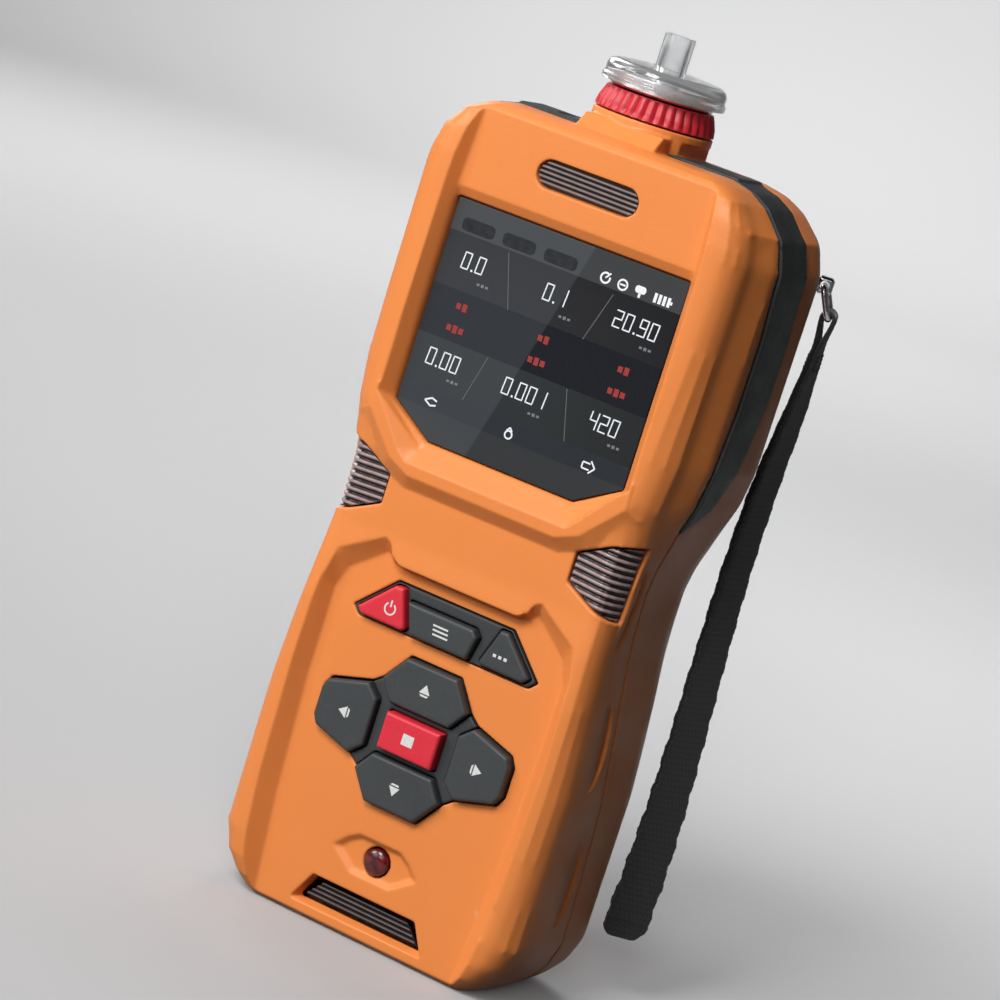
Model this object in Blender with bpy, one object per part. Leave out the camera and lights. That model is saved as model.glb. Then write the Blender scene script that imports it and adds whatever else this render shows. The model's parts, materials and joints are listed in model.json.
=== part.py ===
"""Hand-held pumped gas detector, built as separate pieces in their working places.

The detector stands upright on its flat bottom.  +Z runs up its long axis, -Y is
the front with the display and keys, +X is to the right seen from the front.
Sizes below are in millimetres; MM turns them into metres when a mesh is made.
"""
import math

import bmesh
import bpy
from mathutils import Matrix, Vector

MM = 0.001
GAP = 0.3                      # clearance between neighbouring pieces

# Driving sizes of the case
BODY_TOP = 161.6
HEAD_HALF = 38.3               # half-widths of head, waist and handle
WAIST_HALF = 32.0
HANDLE_HALF = 34.9
RAIL_Y = -18.3                 # front of the head's side rails
WAIST_Y = -16.5
HANDLE_Y = -17.6
PANEL_Y = -16.0                # recessed panel above the display
GLASS_Y = -14.9                # front of the display window
KEY_FLOOR_Y = -14.6            # floor of the keypad recess
CAVITY_Y = -12.0               # inside face of the front wall
BACK_Y = 18.5
WALL = 2.4
BUMPER_PROUD = 0.5             # how far the side bumpers stand out of the shells

# Driving sizes of the gas inlet on top
NECK_Y = 2.5                   # the inlet's axis is at x = 0, y = NECK_Y
NECK_R = 11.8
COLLAR_TOP = 166.0
SPIGOT_R = 9.0
SPIGOT_TOP = 169.8
INLET_BORE_R = 4.5
RING_BOTTOM = 166.3
RING_TOP = 170.5
TUBE_R = 3.0
TUBE_TOP = 182.8

# Driving sizes of the front
SCREEN_HALF = 25.5
SCREEN_TOP = 142.0
SCREEN_SIDE_LOW = 101.6
SCREEN_LOW = 96.1
SCREEN_LOW_HALF = 16.25
PAD_Z = 41.7                   # centre of the direction keys
KEY_TOP_Y = -16.3
KEY_BACK_Y = -12.9
VENT_Z = 151.7
VENT_HALF = 11.0
VENT_R = 2.8
LED_Z = 16.4
LED_R = 3.0

# Parting line and the dark bumper between the shells: (z, y)
PARTING = ((-2, 3.6), (25, 2.2), (53, -1.6), (81, -4.6), (96, -6.0), (109, -5.5), (121, -4.0),
           (135, -4.0), (145, -5.4), (154, -6.0), (170, -6.0))
BUMPER_BACK = ((96, -6.0), (102, 0.6), (114, 5.0), (124, 7.0), (135, 7.0), (145, 6.0),
               (154, 5.0), (170, 4.0))

# Strap and its ring
STRAP_WIDTH = 9.0
STRAP_THICK = 2.0
STRAP_LOW = 12.6
EYE_AXIS = (36.0, 146.5)       # x and z of the ring's hinge
EYE_Y = 21.0
EYE_TURN = 20.0                # turn of the hinge's axis from +Y, about Z, in degrees
RING_WIRE_R = 0.65
RING_DROP = 6.2
RING_HALF = 5.4
RING_LEAN = 25.0               # how far the ring leans outwards from plumb, in degrees

# Charging socket on the back
PORT_Z = 17.0
PORT_COVER_HALF = 7.0
PORT_COVER_HIGH = 7.6
PORT_COVER_PROUD = 0.2
SOCKET_FACE_Y = 16.2
SOCKET_SLOT_HALF = 4.2         # half-width of the plug's slot
SOCKET_SLOT_R = 1.3
SOCKET_SLOT_DEEP = 6.5

GROOVES = 6                    # grip grooves across the back
GROOVE_LOW = 34.0
GROOVE_PITCH = 5.2
GROOVE_HALF = 17.0

CASE_SCREWS = ((-26.0, 13.0), (26.0, 13.0), (-25.0, 70.0), (25.0, 70.0), (-26.5, 150.0),
               (26.5, 150.0))
GRIP_SCOOPS = (25.0, 53.0, 81.0, 108.0, 136.0)


# ---------------------------------------------------------------- materials
COLOURS = {
    "orange_shell": ((0.87, 0.26, 0.055), 0.42, 0.0),
    "black_bumper": ((0.022, 0.026, 0.027), 0.55, 0.0),
    "display_glass": ((0.02, 0.025, 0.03), 0.08, 0.0),
    "display_panel": ((0.03, 0.035, 0.04), 0.30, 0.0),
    "grey_foam": ((0.06, 0.06, 0.06), 0.90, 0.0),
    "black_key": ((0.055, 0.062, 0.066), 0.50, 0.0),
    "red_key": ((0.72, 0.03, 0.05), 0.40, 0.0),
    "keypad_rubber": ((0.030, 0.033, 0.035), 0.60, 0.0),
    "alarm_lens": ((0.22, 0.10, 0.11), 0.22, 0.0),
    "grille_plastic": ((0.10, 0.075, 0.075), 0.50, 0.0),
    "red_lens": ((0.18, 0.01, 0.015), 0.15, 0.0),
    "red_ring": ((0.68, 0.025, 0.045), 0.38, 0.0),
    "bright_metal": ((0.75, 0.75, 0.77), 0.18, 1.0),
    "clear_plastic": ((0.80, 0.82, 0.84), 0.06, 0.0),
    "white_membrane": ((0.85, 0.85, 0.84), 0.80, 0.0),
    "seal_rubber": ((0.015, 0.015, 0.015), 0.70, 0.0),
    "circuit_board": ((0.02, 0.16, 0.06), 0.45, 0.0),
    "sensor_can": ((0.55, 0.55, 0.56), 0.35, 1.0),
    "pump_plastic": ((0.10, 0.10, 0.11), 0.50, 0.0),
    "motor_steel": ((0.48, 0.48, 0.50), 0.32, 1.0),
    "silicone_tube": ((0.70, 0.70, 0.66), 0.45, 0.0),
    "battery_wrap": ((0.04, 0.10, 0.24), 0.40, 0.0),
    "screw_steel": ((0.42, 0.42, 0.44), 0.30, 1.0),
    "strap_fabric": ((0.014, 0.015, 0.015), 0.85, 0.0),
    "ring_wire": ((0.70, 0.70, 0.72), 0.22, 1.0),
}


def make_material(name):
    colour, roughness, metallic = COLOURS[name]
    material = bpy.data.materials.get(name) or bpy.data.materials.new(name)
    material.use_nodes = True
    shader = material.node_tree.nodes["Principled BSDF"]
    shader.inputs["Base Color"].default_value = (*colour, 1.0)
    shader.inputs["Roughness"].default_value = roughness
    shader.inputs["Metallic"].default_value = metallic
    return material


# ------------------------------------------------------------ mesh builders
def new_object(name, bm, material=None, origin=(0.0, 0.0, 0.0), sharp=35.0):
    """Turn a bmesh in millimetres into an object whose origin is at origin."""
    bmesh.ops.recalc_face_normals(bm, faces=bm.faces)
    bmesh.ops.translate(bm, verts=bm.verts, vec=-Vector(origin))
    bmesh.ops.scale(bm, verts=bm.verts, vec=(MM, MM, MM))
    mesh = bpy.data.meshes.new(name)
    bm.to_mesh(mesh)
    bm.free()
    mesh.shade_smooth()
    mesh.set_sharp_from_angle(angle=math.radians(sharp))
    obj = bpy.data.objects.new(name, mesh)
    obj.location = Vector(origin) * MM
    bpy.context.scene.collection.objects.link(obj)
    if material:
        mesh.materials.append(make_material(material))
    return obj


def loft(rings, closed=False):
    """Bridge rings of equal length; cap the ends unless the loft closes on itself."""
    bm = bmesh.new()
    loops = [[bm.verts.new(point) for point in ring] for ring in rings]
    count = len(loops[0])
    pairs = list(zip(loops, loops[1:]))
    if closed:
        pairs.append((loops[-1], loops[0]))
    for low, high in pairs:
        for i in range(count):
            j = (i + 1) % count
            bm.faces.new((low[i], low[j], high[j], high[i]))
    if not closed:
        bm.faces.new(loops[0][::-1])
        bm.faces.new(loops[-1])
    return bm


def plate(outline, y_front, y_back, front_inset=0.0):
    """A plate facing -Y: an (x, z) outline between two depths, its front edge bevelled."""
    rings = [[(x, y_back, z) for x, z in outline]]
    if front_inset:
        rings.append([(x, y_front + front_inset, z) for x, z in outline])
        rings.append([(x, y_front, z) for x, z in offset_outline(outline, -front_inset)])
    else:
        rings.append([(x, y_front, z) for x, z in outline])
    return loft(rings)


def funnel(foot, mouth, y_foot, y_mouth):
    """A recess cutter: its foot outline opens to the mouth outline towards -Y."""
    return loft([[(x, y_foot, z) for x, z in foot], [(x, y_mouth, z) for x, z in mouth]])


def bar_x(outline, x_low, x_high):
    """Extrude a (y, z) outline along X."""
    return loft([[(x, y, z) for y, z in outline] for x in (x_low, x_high)])


def block(low, high, bevel=0.0):
    bm = bmesh.new()
    bmesh.ops.create_cube(bm, size=1.0)
    size = [b - a for a, b in zip(low, high)]
    centre = [(a + b) / 2 for a, b in zip(low, high)]
    bmesh.ops.scale(bm, verts=bm.verts, vec=size)
    bmesh.ops.translate(bm, verts=bm.verts, vec=centre)
    if bevel:
        bmesh.ops.bevel(bm, geom=bm.edges[:], offset=bevel, segments=1, affect="EDGES")
    return bm


def turned(profile, steps, centre=(0.0, NECK_Y)):
    """Spin a closed (radius, z) profile about a vertical axis."""
    rings = []
    for k in range(steps):
        turn = 2 * math.pi * k / steps
        rings.append([(centre[0] + r * math.cos(turn), centre[1] + r * math.sin(turn), z)
                      for r, z in profile])
    return loft(rings, closed=True)


def rod(start, end, radius, steps=20):
    """A plain cylinder between two points."""
    start, end = Vector(start), Vector(end)
    bm = bmesh.new()
    bmesh.ops.create_cone(bm, cap_ends=True, segments=steps, radius1=radius, radius2=radius,
                          depth=(end - start).length)
    turn = Vector((0, 0, 1)).rotation_difference(end - start).to_matrix().to_4x4()
    bmesh.ops.transform(bm, matrix=Matrix.Translation((start + end) / 2) @ turn, verts=bm.verts)
    return bm


def post(z_low, z_high, radius, steps):
    """An upright cylinder on the gas inlet's axis."""
    return rod((0, NECK_Y, z_low), (0, NECK_Y, z_high), radius, steps)


def stepped_rod(start, axis, steps_along, sides=20):
    """A solid of revolution along an axis; steps_along holds (distance, radius)."""
    axis = Vector(axis).normalized()
    side = axis.orthogonal().normalized()
    other = axis.cross(side)
    rings = []
    for distance, radius in steps_along:
        centre = Vector(start) + axis * distance
        rings.append([centre + radius * (math.cos(a) * side + math.sin(a) * other)
                      for a in (2 * math.pi * k / sides for k in range(sides))])
    return loft(rings)


def swept(points, radius, sides=8, closed=False):
    """A round bar along a list of points."""
    points = [Vector(p) for p in points]
    count = len(points)
    rings = []
    across = None
    for i, point in enumerate(points):
        before = points[i - 1] if i or closed else point
        after = points[(i + 1) % count] if i < count - 1 or closed else point
        along = (after - before).normalized()
        if across is None:
            across = along.orthogonal().normalized()
        across = (across - along * across.dot(along)).normalized()
        other = along.cross(across)
        rings.append([point + radius * (math.cos(a) * across + math.sin(a) * other)
                      for a in (2 * math.pi * k / sides for k in range(sides))])
    return loft(rings, closed=closed)


def offset_outline(outline, distance):
    """Move every edge of a closed outline outwards by distance, keeping its corners."""
    area = sum(a[0] * b[1] - b[0] * a[1] for a, b in zip(outline, outline[1:] + outline[:1]))
    side = 1.0 if area > 0 else -1.0
    result = []
    for before, here, after in zip(outline[-1:] + outline[:-1], outline, outline[1:] + outline[:1]):
        first = Vector((here[1] - before[1], before[0] - here[0])).normalized() * side
        second = Vector((after[1] - here[1], here[0] - after[0])).normalized() * side
        corner = (first + second) / (1.0 + first.dot(second))
        result.append((here[0] + corner.x * distance, here[1] + corner.y * distance))
    return result


def add_into(target, bm):
    """Add one closed bmesh to another as a separate island."""
    bmesh.ops.recalc_face_normals(bm, faces=bm.faces)
    mesh = bpy.data.meshes.new("island")
    bm.to_mesh(mesh)
    bm.free()
    target.from_mesh(mesh)
    bpy.data.meshes.remove(mesh)


def both_sides(half):
    """Mirror an (x, z) chain that runs from low to high on +X into a closed outline."""
    return [(x, z) for x, z in half] + [(-x, z) for x, z in reversed(half)]


def pill(half_length, radius, centre_z, steps=8):
    outline = []
    for side in (1, -1):
        for k in range(steps + 1):
            angle = math.pi * (k / steps - side / 2)
            outline.append((side * (half_length - radius) + radius * math.cos(angle),
                            centre_z + radius * math.sin(angle)))
    return outline


# ------------------------------------------------------------------ Booleans
def cutter(bm, name):
    obj = new_object(name, bm)
    obj.hide_render = True
    obj.display_type = "WIRE"
    return obj


def combine(obj, operation, bm, name):
    tool = cutter(bm, f"{obj.name}_{name}")
    modifier = obj.modifiers.new(name, "BOOLEAN")
    modifier.operation = operation
    modifier.solver = "EXACT"
    modifier.object = tool


def cut(obj, bm, name):
    combine(obj, "DIFFERENCE", bm, name)


def join(obj, bm, name):
    combine(obj, "UNION", bm, name)


def keep(obj, bm, name):
    combine(obj, "INTERSECT", bm, name)


# ------------------------------------------------------- outer form of the case
def along(stations, z):
    """Read a value at height z from (z, value) stations, straight between them."""
    if z <= stations[0][0]:
        return stations[0][1]
    for (z0, v0), (z1, v1) in zip(stations, stations[1:]):
        if z <= z1:
            return v0 + (v1 - v0) * (z - z0) / (z1 - z0)
    return stations[-1][1]


HALF_WIDTH = ((0, 25.5), (1.2, 28.0), (3.5, 30.6), (7, 33.2), (12, HANDLE_HALF), (42, HANDLE_HALF),
              (50, 34.3), (60, 33.4), (70, 32.3), (77, WAIST_HALF), (83, WAIST_HALF), (88, 32.8),
              (93, 34.4), (97, 35.6), (102, 37.3), (109, HEAD_HALF), (148, HEAD_HALF),
              (154, 36.3), (158.6, 31.7), (160.6, 28.2), (BODY_TOP, 24.0))
FRONT = ((0, -13.0), (1.2, -14.8), (3.5, -16.3), (7, -17.2), (12, HANDLE_Y), (60, HANDLE_Y),
         (70, -17.1), (77, WAIST_Y), (90, WAIST_Y), (96, -17.4), (100, RAIL_Y), (150, RAIL_Y),
         (155, -17.9), (158.6, -16.8), (160.6, -15.2), (BODY_TOP, -12.6))
BACK = ((0, 13.0), (1.2, 15.0), (3.5, 16.8), (7, 18.0), (12, BACK_Y), (148, BACK_Y),
        (155, 17.9), (158.6, 16.8), (160.6, 15.2), (BODY_TOP, 13.0))
FRONT_HALF = ((0, 25.0), (1.2, 27.4), (3.5, 29.9), (7, 32.3), (12, 34.2), (42, 34.3), (50, 33.8),
              (60, 33.0), (70, 32.2), (77, 31.9), (88, 32.5), (97, 33.6), (109, 35.0),
              (148, 35.2), (154, 33.9), (158.6, 30.2), (160.6, 27.2), (BODY_TOP, 23.4))
RAIL_EDGE = ((0, 23.0), (7, 27.0), (20, 28.0), (37, 28.6), (60, 29.2), (77, 28.4), (90, 27.0),
             (97, 26.8), (110, 27.4), (124, 29.0), (150, 29.4), (158.6, 27.6), (BODY_TOP, 21.6))
FRONT_ROUND = 6.0              # how far back the front edge's round reaches
BACK_ROUND = 7.5
LEVELS = sorted({z for stations in (HALF_WIDTH, FRONT) for z, _ in stations} | {20, 30, 130})
CORNER_STEPS = 4


def section(z, inset=0.0, front=None):
    """The case's outline at height z, counter-clockwise from above."""
    half = along(HALF_WIDTH, z) - inset
    y_front = along(FRONT, z) + inset if front is None else front
    y_back = along(BACK, z) - inset
    front_half = along(FRONT_HALF, z) - inset
    edge = min(along(RAIL_EDGE, z), front_half - 1.5)
    reach = min(FRONT_ROUND, (y_back - y_front) * 0.3)
    back_round = min(BACK_ROUND, half * 0.35) - inset * 0.8
    right = []
    for k in range(CORNER_STEPS + 1):
        angle = math.pi / 2 * k / CORNER_STEPS
        right.append((edge + (front_half - edge) * math.sin(angle),
                      y_front + reach * (1 - math.cos(angle))))
    right.append((half - 0.25 * (half - front_half), y_front + reach + 5.0))
    for k in range(CORNER_STEPS + 1):
        angle = math.pi / 2 * k / CORNER_STEPS
        right.append((half - back_round * (1 - math.cos(angle)),
                      y_back - back_round * (1 - math.sin(angle))))
    left = [(-x, y) for x, y in reversed(right)]
    return [(x, y, z) for x, y in right + left]


def case_solid(inset=0.0):
    low, high = inset, BODY_TOP - inset
    levels = [low] + [z for z in LEVELS if low < z < high] + [high]
    return loft([section(z, inset) for z in levels])


def cavity_solid():
    """The room inside the two shells."""
    low, high = WALL, BODY_TOP - WALL
    levels = [low] + [z for z in LEVELS if low + 1 < z < high - 1] + [high]
    return loft([section(z, WALL, front=CAVITY_Y) for z in levels])


def behind(stations, shift, y_far, z_low=-5.0, z_high=175.0):
    """A bar whose near face follows (z, y) stations and whose far face is at y_far."""
    line = [(along(stations, z_low) + shift, z_low)]
    line += [(y + shift, z) for z, y in stations if z_low < z < z_high]
    line += [(along(stations, z_high) + shift, z_high)]
    return bar_x(line + [(y_far, z_high), (y_far, z_low)], -60.0, 60.0)


# ------------------------------------------------------------ front shell
SCREEN = both_sides([(SCREEN_LOW_HALF, SCREEN_LOW), (SCREEN_HALF, SCREEN_SIDE_LOW),
                     (SCREEN_HALF, SCREEN_TOP)])
CHIN_SLOPE = both_sides([(16.9, 94.5), (26.4, 101.9), (25.9, 144.2)])
RAIL_MOUTH = both_sides([(18.4, 90.6), (28.6, 102.6), (28.2, 146.0), (26.6, 172.0)])
MOUTH_Y = -19.0                # where RAIL_MOUTH is measured, just proud of the rails

KEYPAD_FOOT = both_sides([(22.2, -6.0), (24.8, 22.0), (25.9, 46.0), (25.9, 63.4), (24.2, 67.8),
                          (17.0, 73.5), (16.1, 72.9), (15.3, 72.1), (13.0, 71.6)])
KEYPAD_MOUTH = both_sides([(25.8, -6.0), (28.6, 23.0), (29.2, 46.0), (28.7, 65.0), (27.5, 72.4),
                           (18.2, 78.8), (16.4, 77.7), (15.3, 74.4), (13.1, 72.6)])
KEYPAD_MOUTH_Y = -18.0

PAD_OPENING = both_sides([(5.8, PAD_Z - 15.0), (10.1, PAD_Z - 9.2), (12.0, PAD_Z - 7.7),
                          (20.7, PAD_Z - 5.1), (21.9, PAD_Z - 3.0), (21.9, PAD_Z + 3.0),
                          (20.7, PAD_Z + 5.1), (12.0, PAD_Z + 7.7), (10.1, PAD_Z + 9.2),
                          (5.8, PAD_Z + 15.0)])
ROW_OPENING = both_sides([(19.3, 59.8), (21.1, 61.5), (13.1, 69.3)])

LENS_FRONT = [(21.0, 82.0), (21.0, 88.0), (27.6, 91.4), (36.0, 93.6), (37.0, 75.4), (27.4, 78.8)]
LENS_BACK_Y = -11.2
SLOT = both_sides([(14.6, 3.4), (11.6, 8.8)])
EYE_DENT = both_sides([(4.6, 12.2), (10.2, 16.3), (7.4, 19.2), (4.8, 20.8)])


def mirrored(outline):
    return [(-x, z) for x, z in reversed(outline)]


def scoop_cutters(side):
    """Thumb scoops along one side wall, deepest next to the parting line."""
    half_long, half_wide, deep, shallow = 8.7, 3.3, 0.95, -0.1
    steps = 16
    result = bmesh.new()
    for z_mid in GRIP_SCOOPS:
        y_mid = along(PARTING, z_mid) - 2.4 - half_wide
        outer = []
        inner = []
        for k in range(steps):
            angle = 2 * math.pi * k / steps
            y = y_mid + half_wide * math.cos(angle)
            z = z_mid + half_long * math.sin(angle)
            wall = along(HALF_WIDTH, z)
            depth = shallow + (deep - shallow) * (y - y_mid + half_wide) / (2 * half_wide)
            outer.append((side * (wall + 4.0), y, z))
            inner.append((side * (wall - depth), y, z))
        add_into(result, loft([inner, outer]))
    return result


def head_recess():
    """The cutter between the head's rails: display at its foot, open panel above it."""
    def doubled(outline):
        half = len(outline) // 2
        return outline[:half] + [outline[half - 1], outline[half]] + outline[half:]

    panel = CHIN_SLOPE[:3] + [(24.4, 172.0), (-24.4, 172.0)] + CHIN_SLOPE[3:]
    rings = ((doubled(SCREEN), GLASS_Y), (doubled(CHIN_SLOPE), PANEL_Y), (panel, PANEL_Y),
             (RAIL_MOUTH, MOUTH_Y))
    bm = loft([[(x, y, z) for x, z in outline] for outline, y in rings])
    bmesh.ops.remove_doubles(bm, verts=bm.verts, dist=0.001)
    return bm


def chin():
    """The raised lower frame of the display."""
    foot = both_sides([(17.6, 86.4), (23.6, 88.6), (31.4, 97.6), (30.0, 104.0)])
    top = both_sides([(16.4, 89.2), (21.2, 91.2), (28.6, 99.0), (28.4, 104.0)])
    return loft([[(x, -13.5, z) for x, z in foot], [(x, WAIST_Y + 0.1, z) for x, z in foot],
                 [(x, RAIL_Y, z) for x, z in top]])


def front_shell():
    shell = new_object("front_shell", case_solid(), "orange_shell", sharp=30.0)
    join(shell, chin(), "chin")
    keep(shell, front_half(), "front_half")
    join(shell, post(157.5, COLLAR_TOP, NECK_R, 40), "neck")
    ramp = [(-15.7, 157.6), (NECK_Y - NECK_R + 0.3, 164.6), (-2.0, 164.6), (-2.0, 157.6)]
    join(shell, bar_x(ramp, -8.6, 8.6), "neck_ramp")
    join(shell, post(160.0, SPIGOT_TOP, SPIGOT_R, 32), "spigot")
    cut(shell, cavity_solid(), "cavity")
    cut(shell, post(150.0, 175.0, INLET_BORE_R, 24), "inlet_bore")
    for side in (-1, 1):
        low = (min(side * 9.9, side * 14.0), -8.0, 161.9)
        high = (max(side * 9.9, side * 14.0), 16.0, 164.4)
        cut(shell, block(low, high), f"neck_relief_{'left' if side < 0 else 'right'}")
    cut(shell, head_recess(), "head_recess")
    cut(shell, plate(offset_outline(SCREEN, GAP * 0.6), GLASS_Y - 0.5, GLASS_Y + 1.4), "window_seat")
    window_opening = both_sides([(SCREEN_LOW_HALF - 1.5, SCREEN_LOW + 1.8),
                                 (SCREEN_HALF - 2.0, SCREEN_SIDE_LOW + 1.0),
                                 (SCREEN_HALF - 2.0, SCREEN_TOP - 2.0)])
    cut(shell, plate(window_opening, GLASS_Y, -8.0), "window_opening")
    cut(shell, funnel(KEYPAD_FOOT, KEYPAD_MOUTH, KEY_FLOOR_Y, KEYPAD_MOUTH_Y), "keypad_recess")
    cut(shell, plate(PAD_OPENING, KEY_FLOOR_Y - 1.0, -8.0), "pad_opening")
    cut(shell, plate(ROW_OPENING, KEY_FLOOR_Y - 1.0, -8.0), "row_opening")
    for outline, name in ((LENS_FRONT, "right"), (mirrored(LENS_FRONT), "left")):
        cut(shell, plate(outline, -20.0, LENS_BACK_Y), f"lens_pocket_{name}")
    cut(shell, plate(pill(VENT_HALF, VENT_R, VENT_Z), -19.0, PANEL_Y + 1.8), "vent_pocket")
    cut(shell, plate(pill(VENT_HALF - 1.6, VENT_R - 1.2, VENT_Z), PANEL_Y + 1.0, -8.0),
        "vent_hole")
    cut(shell, funnel(offset_outline(EYE_DENT, -1.4), offset_outline(EYE_DENT, 1.2),
                      KEY_FLOOR_Y + 0.9, KEY_FLOOR_Y - 1.1), "indicator_dent")
    cut(shell, rod((0, -17, LED_Z), (0, -8, LED_Z), LED_R), "indicator_hole")
    cut(shell, funnel(offset_outline(SLOT, -0.5), offset_outline(SLOT, 0.7), -11.4, -15.6),
        "slot_recess")
    cut(shell, plate(offset_outline(SLOT, -1.3), -14.0, -6.0), "slot_hole")
    for side in (-1, 1):
        cut(shell, scoop_cutters(side), f"scoops_{'left' if side < 0 else 'right'}")
    return shell


def front_half():
    """Everything in front of the parting line."""
    line = [(y - GAP / 2, z) for z, y in PARTING]
    return bar_x(line + [(-40.0, 170.0), (-40.0, -2.0)], -60.0, 60.0)


# ------------------------------------------------------------- rear shell
def rear_shell():
    shell = new_object("rear_shell", case_solid(), "orange_shell", sharp=30.0)
    stations = [s for s in PARTING if s[0] < 96] + list(BUMPER_BACK)
    keep(shell, behind(stations, GAP / 2, 60.0), "rear_half")
    cut(shell, cavity_solid(), "cavity")
    for n, (x, z) in enumerate(CASE_SCREWS, 1):
        join(shell, rod((x, 4.5, z), (x, BACK_Y - WALL + 0.5, z), 3.4, 16), f"boss_{n}")
    cut(shell, post(150.0, 170.0, NECK_R + GAP, 40), "neck_hole")
    for n, (x, z) in enumerate(CASE_SCREWS, 1):
        cut(shell, rod((x, BACK_Y - 2.2, z), (x, BACK_Y + 3, z), 2.9, 20), f"head_{n}")
        cut(shell, rod((x, 2.0, z), (x, BACK_Y, z), 1.45, 12), f"shank_{n}")
    cut(shell, eye_shank(GAP, 1.0), "eye_shank_hole")
    label = both_sides([(19.0, 84.0), (21.0, 86.0), (21.0, 136.0), (19.0, 138.0)])
    cut(shell, plate(label, BACK_Y - 0.6, BACK_Y + 2.0), "label_field")
    grooves = bmesh.new()
    for k in range(GROOVES):
        z = GROOVE_LOW + GROOVE_PITCH * k
        wedge = [(BACK_Y - 0.8, z), (BACK_Y + 1.0, z + 1.6), (BACK_Y + 1.0, z - 1.6)]
        add_into(grooves, bar_x(wedge, -GROOVE_HALF, GROOVE_HALF))
    cut(shell, grooves, "grip_grooves")
    z0 = PORT_Z - PORT_COVER_HIGH / 2
    z1 = PORT_Z + PORT_COVER_HIGH / 2
    cut(shell, block((-PORT_COVER_HALF - GAP, BACK_Y - 1.7, z0 - GAP),
                     (PORT_COVER_HALF + GAP, BACK_Y + 3, z1 + GAP)), "port_recess")
    cut(shell, block((-5.6, 8.0, PORT_Z - 2.6), (5.6, BACK_Y, PORT_Z + 2.6)), "port_hole")
    return shell


def bumper(side):
    name = "bumper_left" if side < 0 else "bumper_right"
    piece = new_object(name, case_solid(-BUMPER_PROUD), "black_bumper", sharp=30.0)
    keep(piece, behind(PARTING, GAP / 2, 60.0, z_low=96.6), "behind_parting")
    back = [(y - GAP / 2, z) for z, y in BUMPER_BACK]
    keep(piece, bar_x(back + [(-40.0, 170.0), (-40.0, 96.0)], -60.0, 60.0), "in_front_of_back")
    low = 0.5 if side > 0 else -60.0
    keep(piece, block((low, -40, 90), (low + 59.5, 40, 175)), "one_side")
    cut(piece, cavity_solid(), "cavity")
    cut(piece, post(150.0, 170.0, NECK_R + GAP, 40), "neck_hole")
    if side < 0:
        cut(piece, rod((-16.2, 0, 150), (-16.2, 0, 170), 2.0), "exhaust_hole")
    return piece


# ---------------------------------------------------------- display and keys
def display_window():
    return new_object("display_window", plate(offset_outline(SCREEN, -0.1), GLASS_Y, GLASS_Y + 1.1,
                                              0.15), "display_glass")


def display_gasket():
    outer = both_sides([(24.6, 101.0), (24.6, 141.2)])
    bm = plate(outer, CAVITY_Y + GAP, CAVITY_Y + 0.9)
    gasket = new_object("display_gasket", bm, "grey_foam")
    cut(gasket, plate(offset_outline(outer, -2.0), -14.0, -8.0), "view")
    return gasket


def display_module():
    return new_object("display_module", block((-27.0, -10.7, 99.0), (27.0, -7.6, 142.5), 0.3),
                      "display_panel")


PAD_SIDE_KEY = [(9.3, PAD_Z - 4.7), (12.1, PAD_Z - 7.2), (20.5, PAD_Z - 4.7), (21.5, PAD_Z - 2.9),
                (21.5, PAD_Z + 2.9), (20.5, PAD_Z + 4.7), (12.1, PAD_Z + 7.2), (9.3, PAD_Z + 4.7)]
PAD_UP_KEY = both_sides([(6.8, PAD_Z + 5.2), (9.7, PAD_Z + 9.2), (5.7, PAD_Z + 14.6)])
PAD_DOWN_KEY = [(x, 2 * PAD_Z - z) for x, z in reversed(PAD_UP_KEY)]
OK_KEY = both_sides([(6.2, PAD_Z - 3.7), (6.2, PAD_Z + 3.7)])
ROW_END_KEY = [(8.3, 61.2), (8.9, 60.6), (18.2, 60.6), (19.4, 61.8), (12.7, 68.4), (10.9, 68.4)]
MENU_KEY = [(-7.0, 60.5), (5.9, 60.5), (6.9, 65.2), (5.7, 66.5), (-9.2, 66.5)]
KEYS = (
    ("power_key", mirrored(ROW_END_KEY), "red_key", -16.4),
    ("menu_key", MENU_KEY, "black_key", -16.5),
    ("function_key", ROW_END_KEY, "black_key", -15.9),
    ("up_key", PAD_UP_KEY, "black_key", KEY_TOP_Y),
    ("down_key", PAD_DOWN_KEY, "black_key", KEY_TOP_Y),
    ("left_key", mirrored(PAD_SIDE_KEY), "black_key", KEY_TOP_Y),
    ("right_key", PAD_SIDE_KEY, "black_key", KEY_TOP_Y),
    ("ok_key", OK_KEY, "red_key", -17.0),
)


def key(name, outline, material, top_y):
    x_mid = sum(x for x, _ in outline) / len(outline)
    z_mid = sum(z for _, z in outline) / len(outline)
    return new_object(name, plate(outline, top_y, KEY_BACK_Y, 0.4), material,
                      origin=(x_mid, top_y, z_mid))


def keypad_mat():
    """The rubber sheet under the keys, with a raised island round each group."""
    sheet = both_sides([(24.0, 22.0), (24.0, 72.0)])
    mat = new_object("keypad_mat", plate(sheet, CAVITY_Y + GAP, CAVITY_Y + 1.3), "keypad_rubber")
    for outline, name in ((PAD_OPENING, "pad_island"), (ROW_OPENING, "row_island")):
        join(mat, plate(offset_outline(outline, -GAP), KEY_FLOOR_Y - 0.35, CAVITY_Y + 0.8), name)
    for name, outline, _, _ in KEYS:
        cut(mat, plate(offset_outline(outline, GAP), -16.0, CAVITY_Y + GAP), f"{name}_well")
    return mat


# ----------------------------------------------- lenses, grilles and indicator
def alarm_lens(side):
    outline = LENS_FRONT if side > 0 else mirrored(LENS_FRONT)
    name = "alarm_lens_right" if side > 0 else "alarm_lens_left"
    lens = new_object(name, case_solid(0.45), "alarm_lens", sharp=30.0)
    keep(lens, plate(offset_outline(outline, -GAP), -20.0, LENS_BACK_Y - GAP), "pocket")
    cut(lens, case_solid(2.5), "inside")
    return lens


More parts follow.
